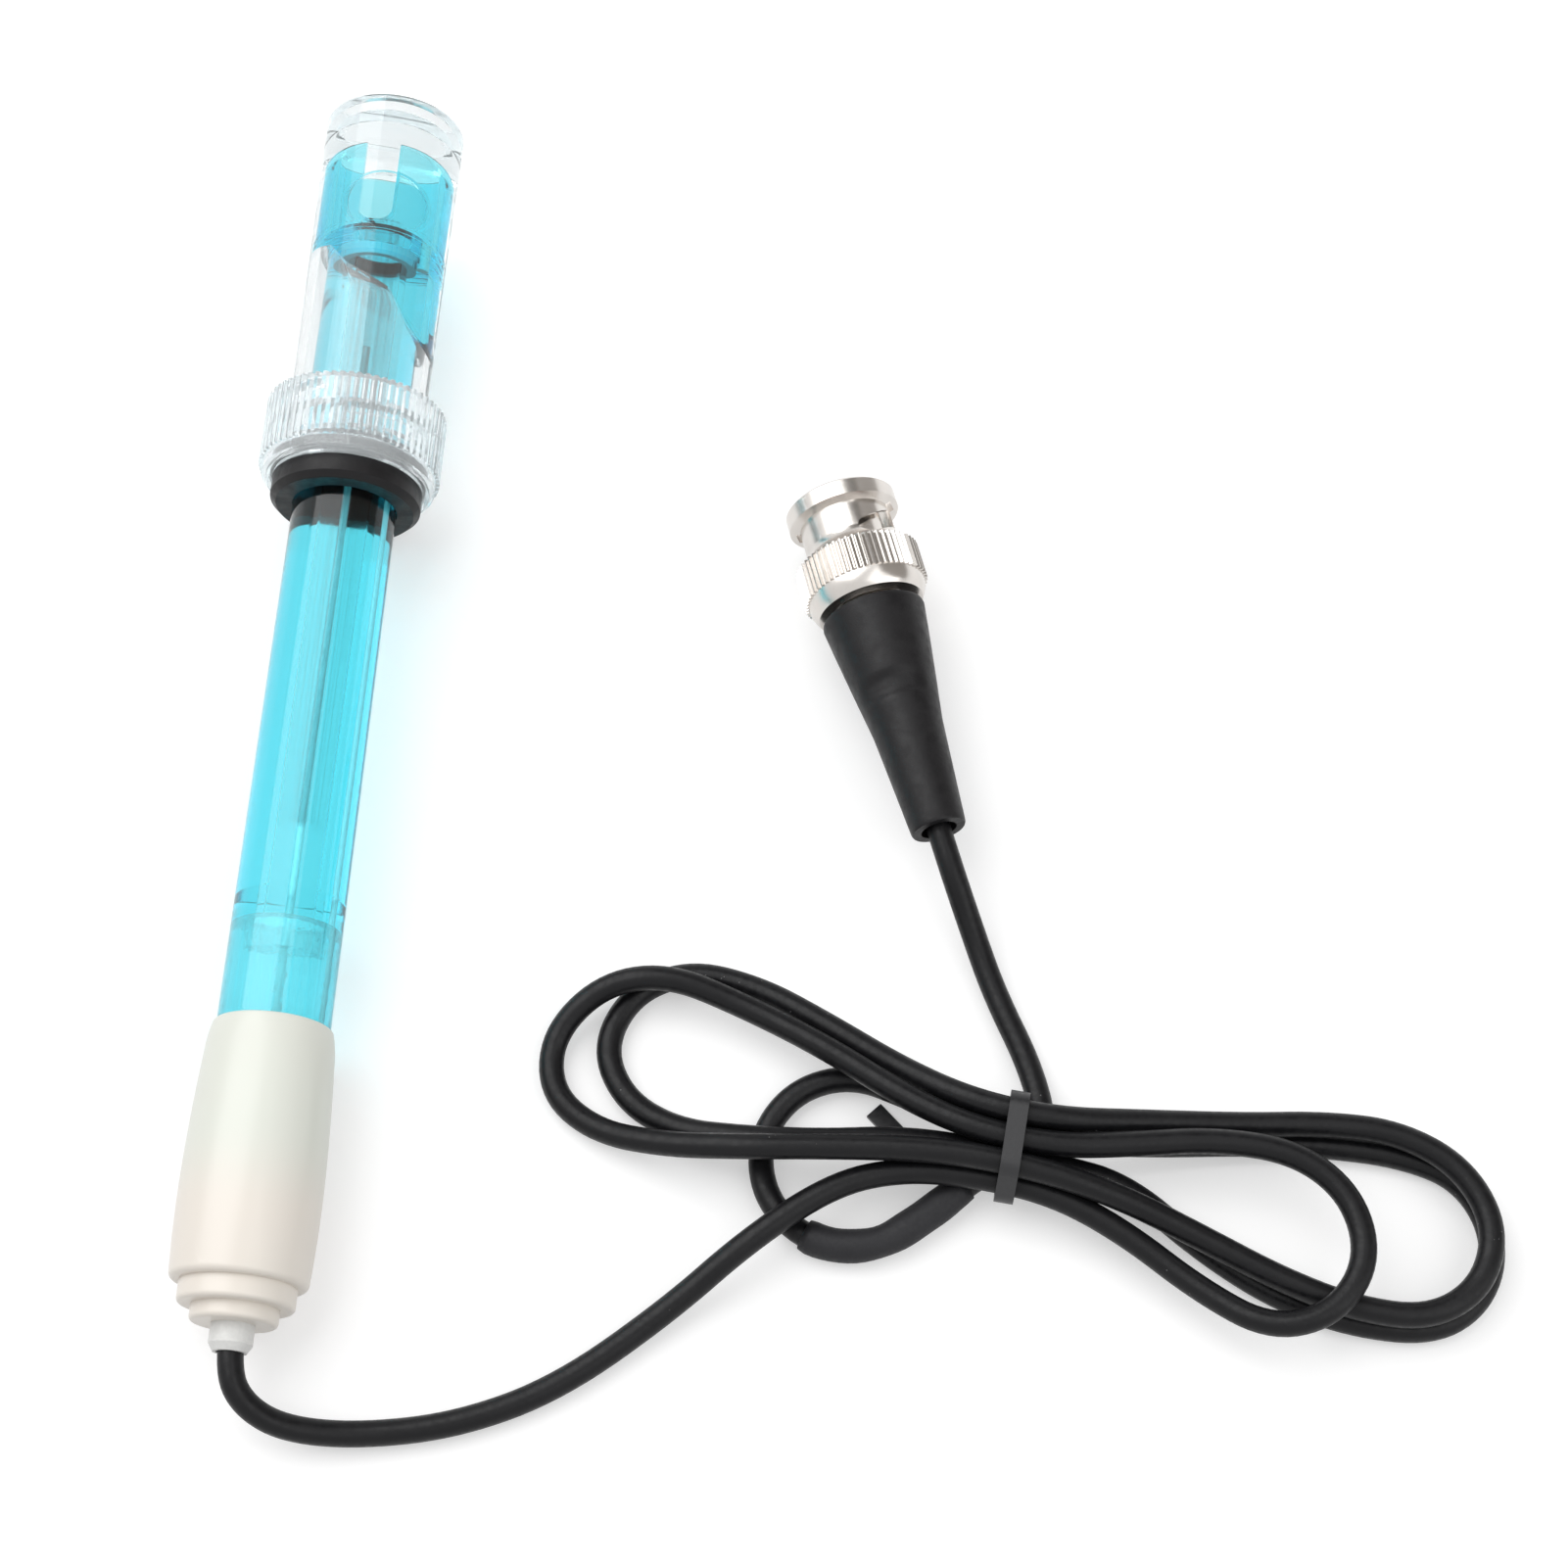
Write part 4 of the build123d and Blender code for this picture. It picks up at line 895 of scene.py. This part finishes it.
def grey_card(place, size, grey):
    """A card that only shiny surfaces see, so that metal has a darker side."""
    card = flat_square("grey_card", size / 2)
    aim(card, place)
    for kind in ("camera", "diffuse", "transmission", "shadow"):
        setattr(card, "visible_" + kind, False)
    tone = Finish("card_grey", Base_Color=(0, 0, 0), Roughness=1.0)
    tone.set(Emission_Color=grey, Emission_Strength=1.0, Specular_IOR_Level=0.0)
    card.data.materials.append(tone.material)


def soft_lamp(name, place, size, watts):
    """A square lamp that faces the object."""
    data = bpy.data.lights.new(name, "AREA")
    data.shape = "SQUARE"
    data.size = size
    data.energy = watts
    lamp = bpy.data.objects.new(name, data)
    aim(lamp, place)
    bpy.context.scene.collection.objects.link(lamp)


def camera():
    """The photograph's view: from above the nozzle's side, 66 degrees up."""
    data = bpy.data.cameras.new("camera")
    data.lens = 66.33
    data.sensor_width = 36.0
    data.clip_start = 0.01
    eye = bpy.data.objects.new("camera", data)
    eye.location = (0.0597, -0.13475, 0.2945)
    eye.rotation_euler = (math.radians(24.0), 0.0, math.radians(3.696))
    bpy.context.scene.collection.objects.link(eye)
    bpy.context.scene.camera = eye


bpy.context.scene.view_settings.view_transform = "Standard"
camera()
surround()
studio()
soft_lamp("key", (-0.40, 0.25, 0.75), 0.9, 6.4)
soft_lamp("fill", (0.6, -0.1, 0.6), 0.9, 2.8)
grey_card((0.62, 0.25, 0.42), 0.8, (0.34, 0.32, 0.30))
grey_card((0.10, 0.55, 0.50), 0.45, (0.22, 0.21, 0.20))

cable = spline_curve("cable_lead", CABLE_ROUTE, CABLE_DIAMETER / 2)
vinyl = black_cable("black_vinyl", (0.004, 0.004, 0.005), (0.009, 0.009, 0.010), 0.30, 1600.0)
cable.data.materials.append(vinyl.material)
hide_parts("cable")
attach(cable, "electrode")

sleeve = shrink_sleeve(middle_line(CABLE_ROUTE))
matt = black_cable("sleeve_vinyl", (0.018, 0.018, 0.020), (0.030, 0.030, 0.033), 0.46, 2600.0)
sleeve.data.materials.append(matt.material)
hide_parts("shrink_sleeve")
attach(sleeve, "electrode")

rubber = black_rubber()
boot = rubber_boot()
boot.data.materials.append(rubber.material)
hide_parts("boot")
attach(boot, "electrode")

tuple(on_axis(0.0))

gel = gel_fill()
gel.data.materials.append(filling("reference_gel_fill", GEL_FREE_END).material)
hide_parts("reference_gel")
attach(gel, "electrode")

solution = storage_solution()
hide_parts("storage_solution")
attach(solution, "bottle_body")

dress(blue_body(), "electrode_body")
dress(clear_moulding("clear_bottle", (0.97, 0.985, 0.99), True, 1.33, 0.93), "bottle")
dress(clear_moulding("clear_nut", (0.94, 0.97, 0.98), False, 1.28, 0.84), "bottle_nut")
dress(inner_glass(), "glass_stem")
dress(filling("buffer_liquid", 0.0), "inner_buffer")
dress(cream_cap(), "cable_cap")
dress(plain_moulding("white_bush", (0.78, 0.78, 0.76), 0.35), "cable_bush", "insulator")
dress(plain_moulding("potting_resin", (0.55, 0.42, 0.22), 0.25), "cap_potting")
dress(clear_resin(), "upper_seal")
dress(plain_moulding("seal_rubber", (0.45, 0.62, 0.66), 0.5), "tip_seal")
dress(plain_moulding("white_ceramic", (0.82, 0.80, 0.76), 0.6), "ceramic_junction")
dress(rubber, "gasket")
dress(plain_moulding("red_rubber", (0.42, 0.03, 0.02), 0.45), "plug_gasket")
dress(plain_moulding("tie_plastic", (0.016, 0.016, 0.018), 0.30), "twist_tie")
nickel = turned_metal("nickel_plate", (0.70, 0.665, 0.63), 0.20)
dress(nickel, "coupling_nut", "plug_body", "outer_contact", "crimp_ferrule")
spring = turned_metal("spring_steel", (0.62, 0.60, 0.57), 0.28)
dress(spring, "spring_washer", "thrust_washer", "retaining_ring")
dress(turned_metal("gilt_brass", (0.85, 0.60, 0.22), 0.18), "centre_pin")
dress(drawn_wire("silver_wire", (0.86, 0.87, 0.87)), "inner_wire", "reference_wire")
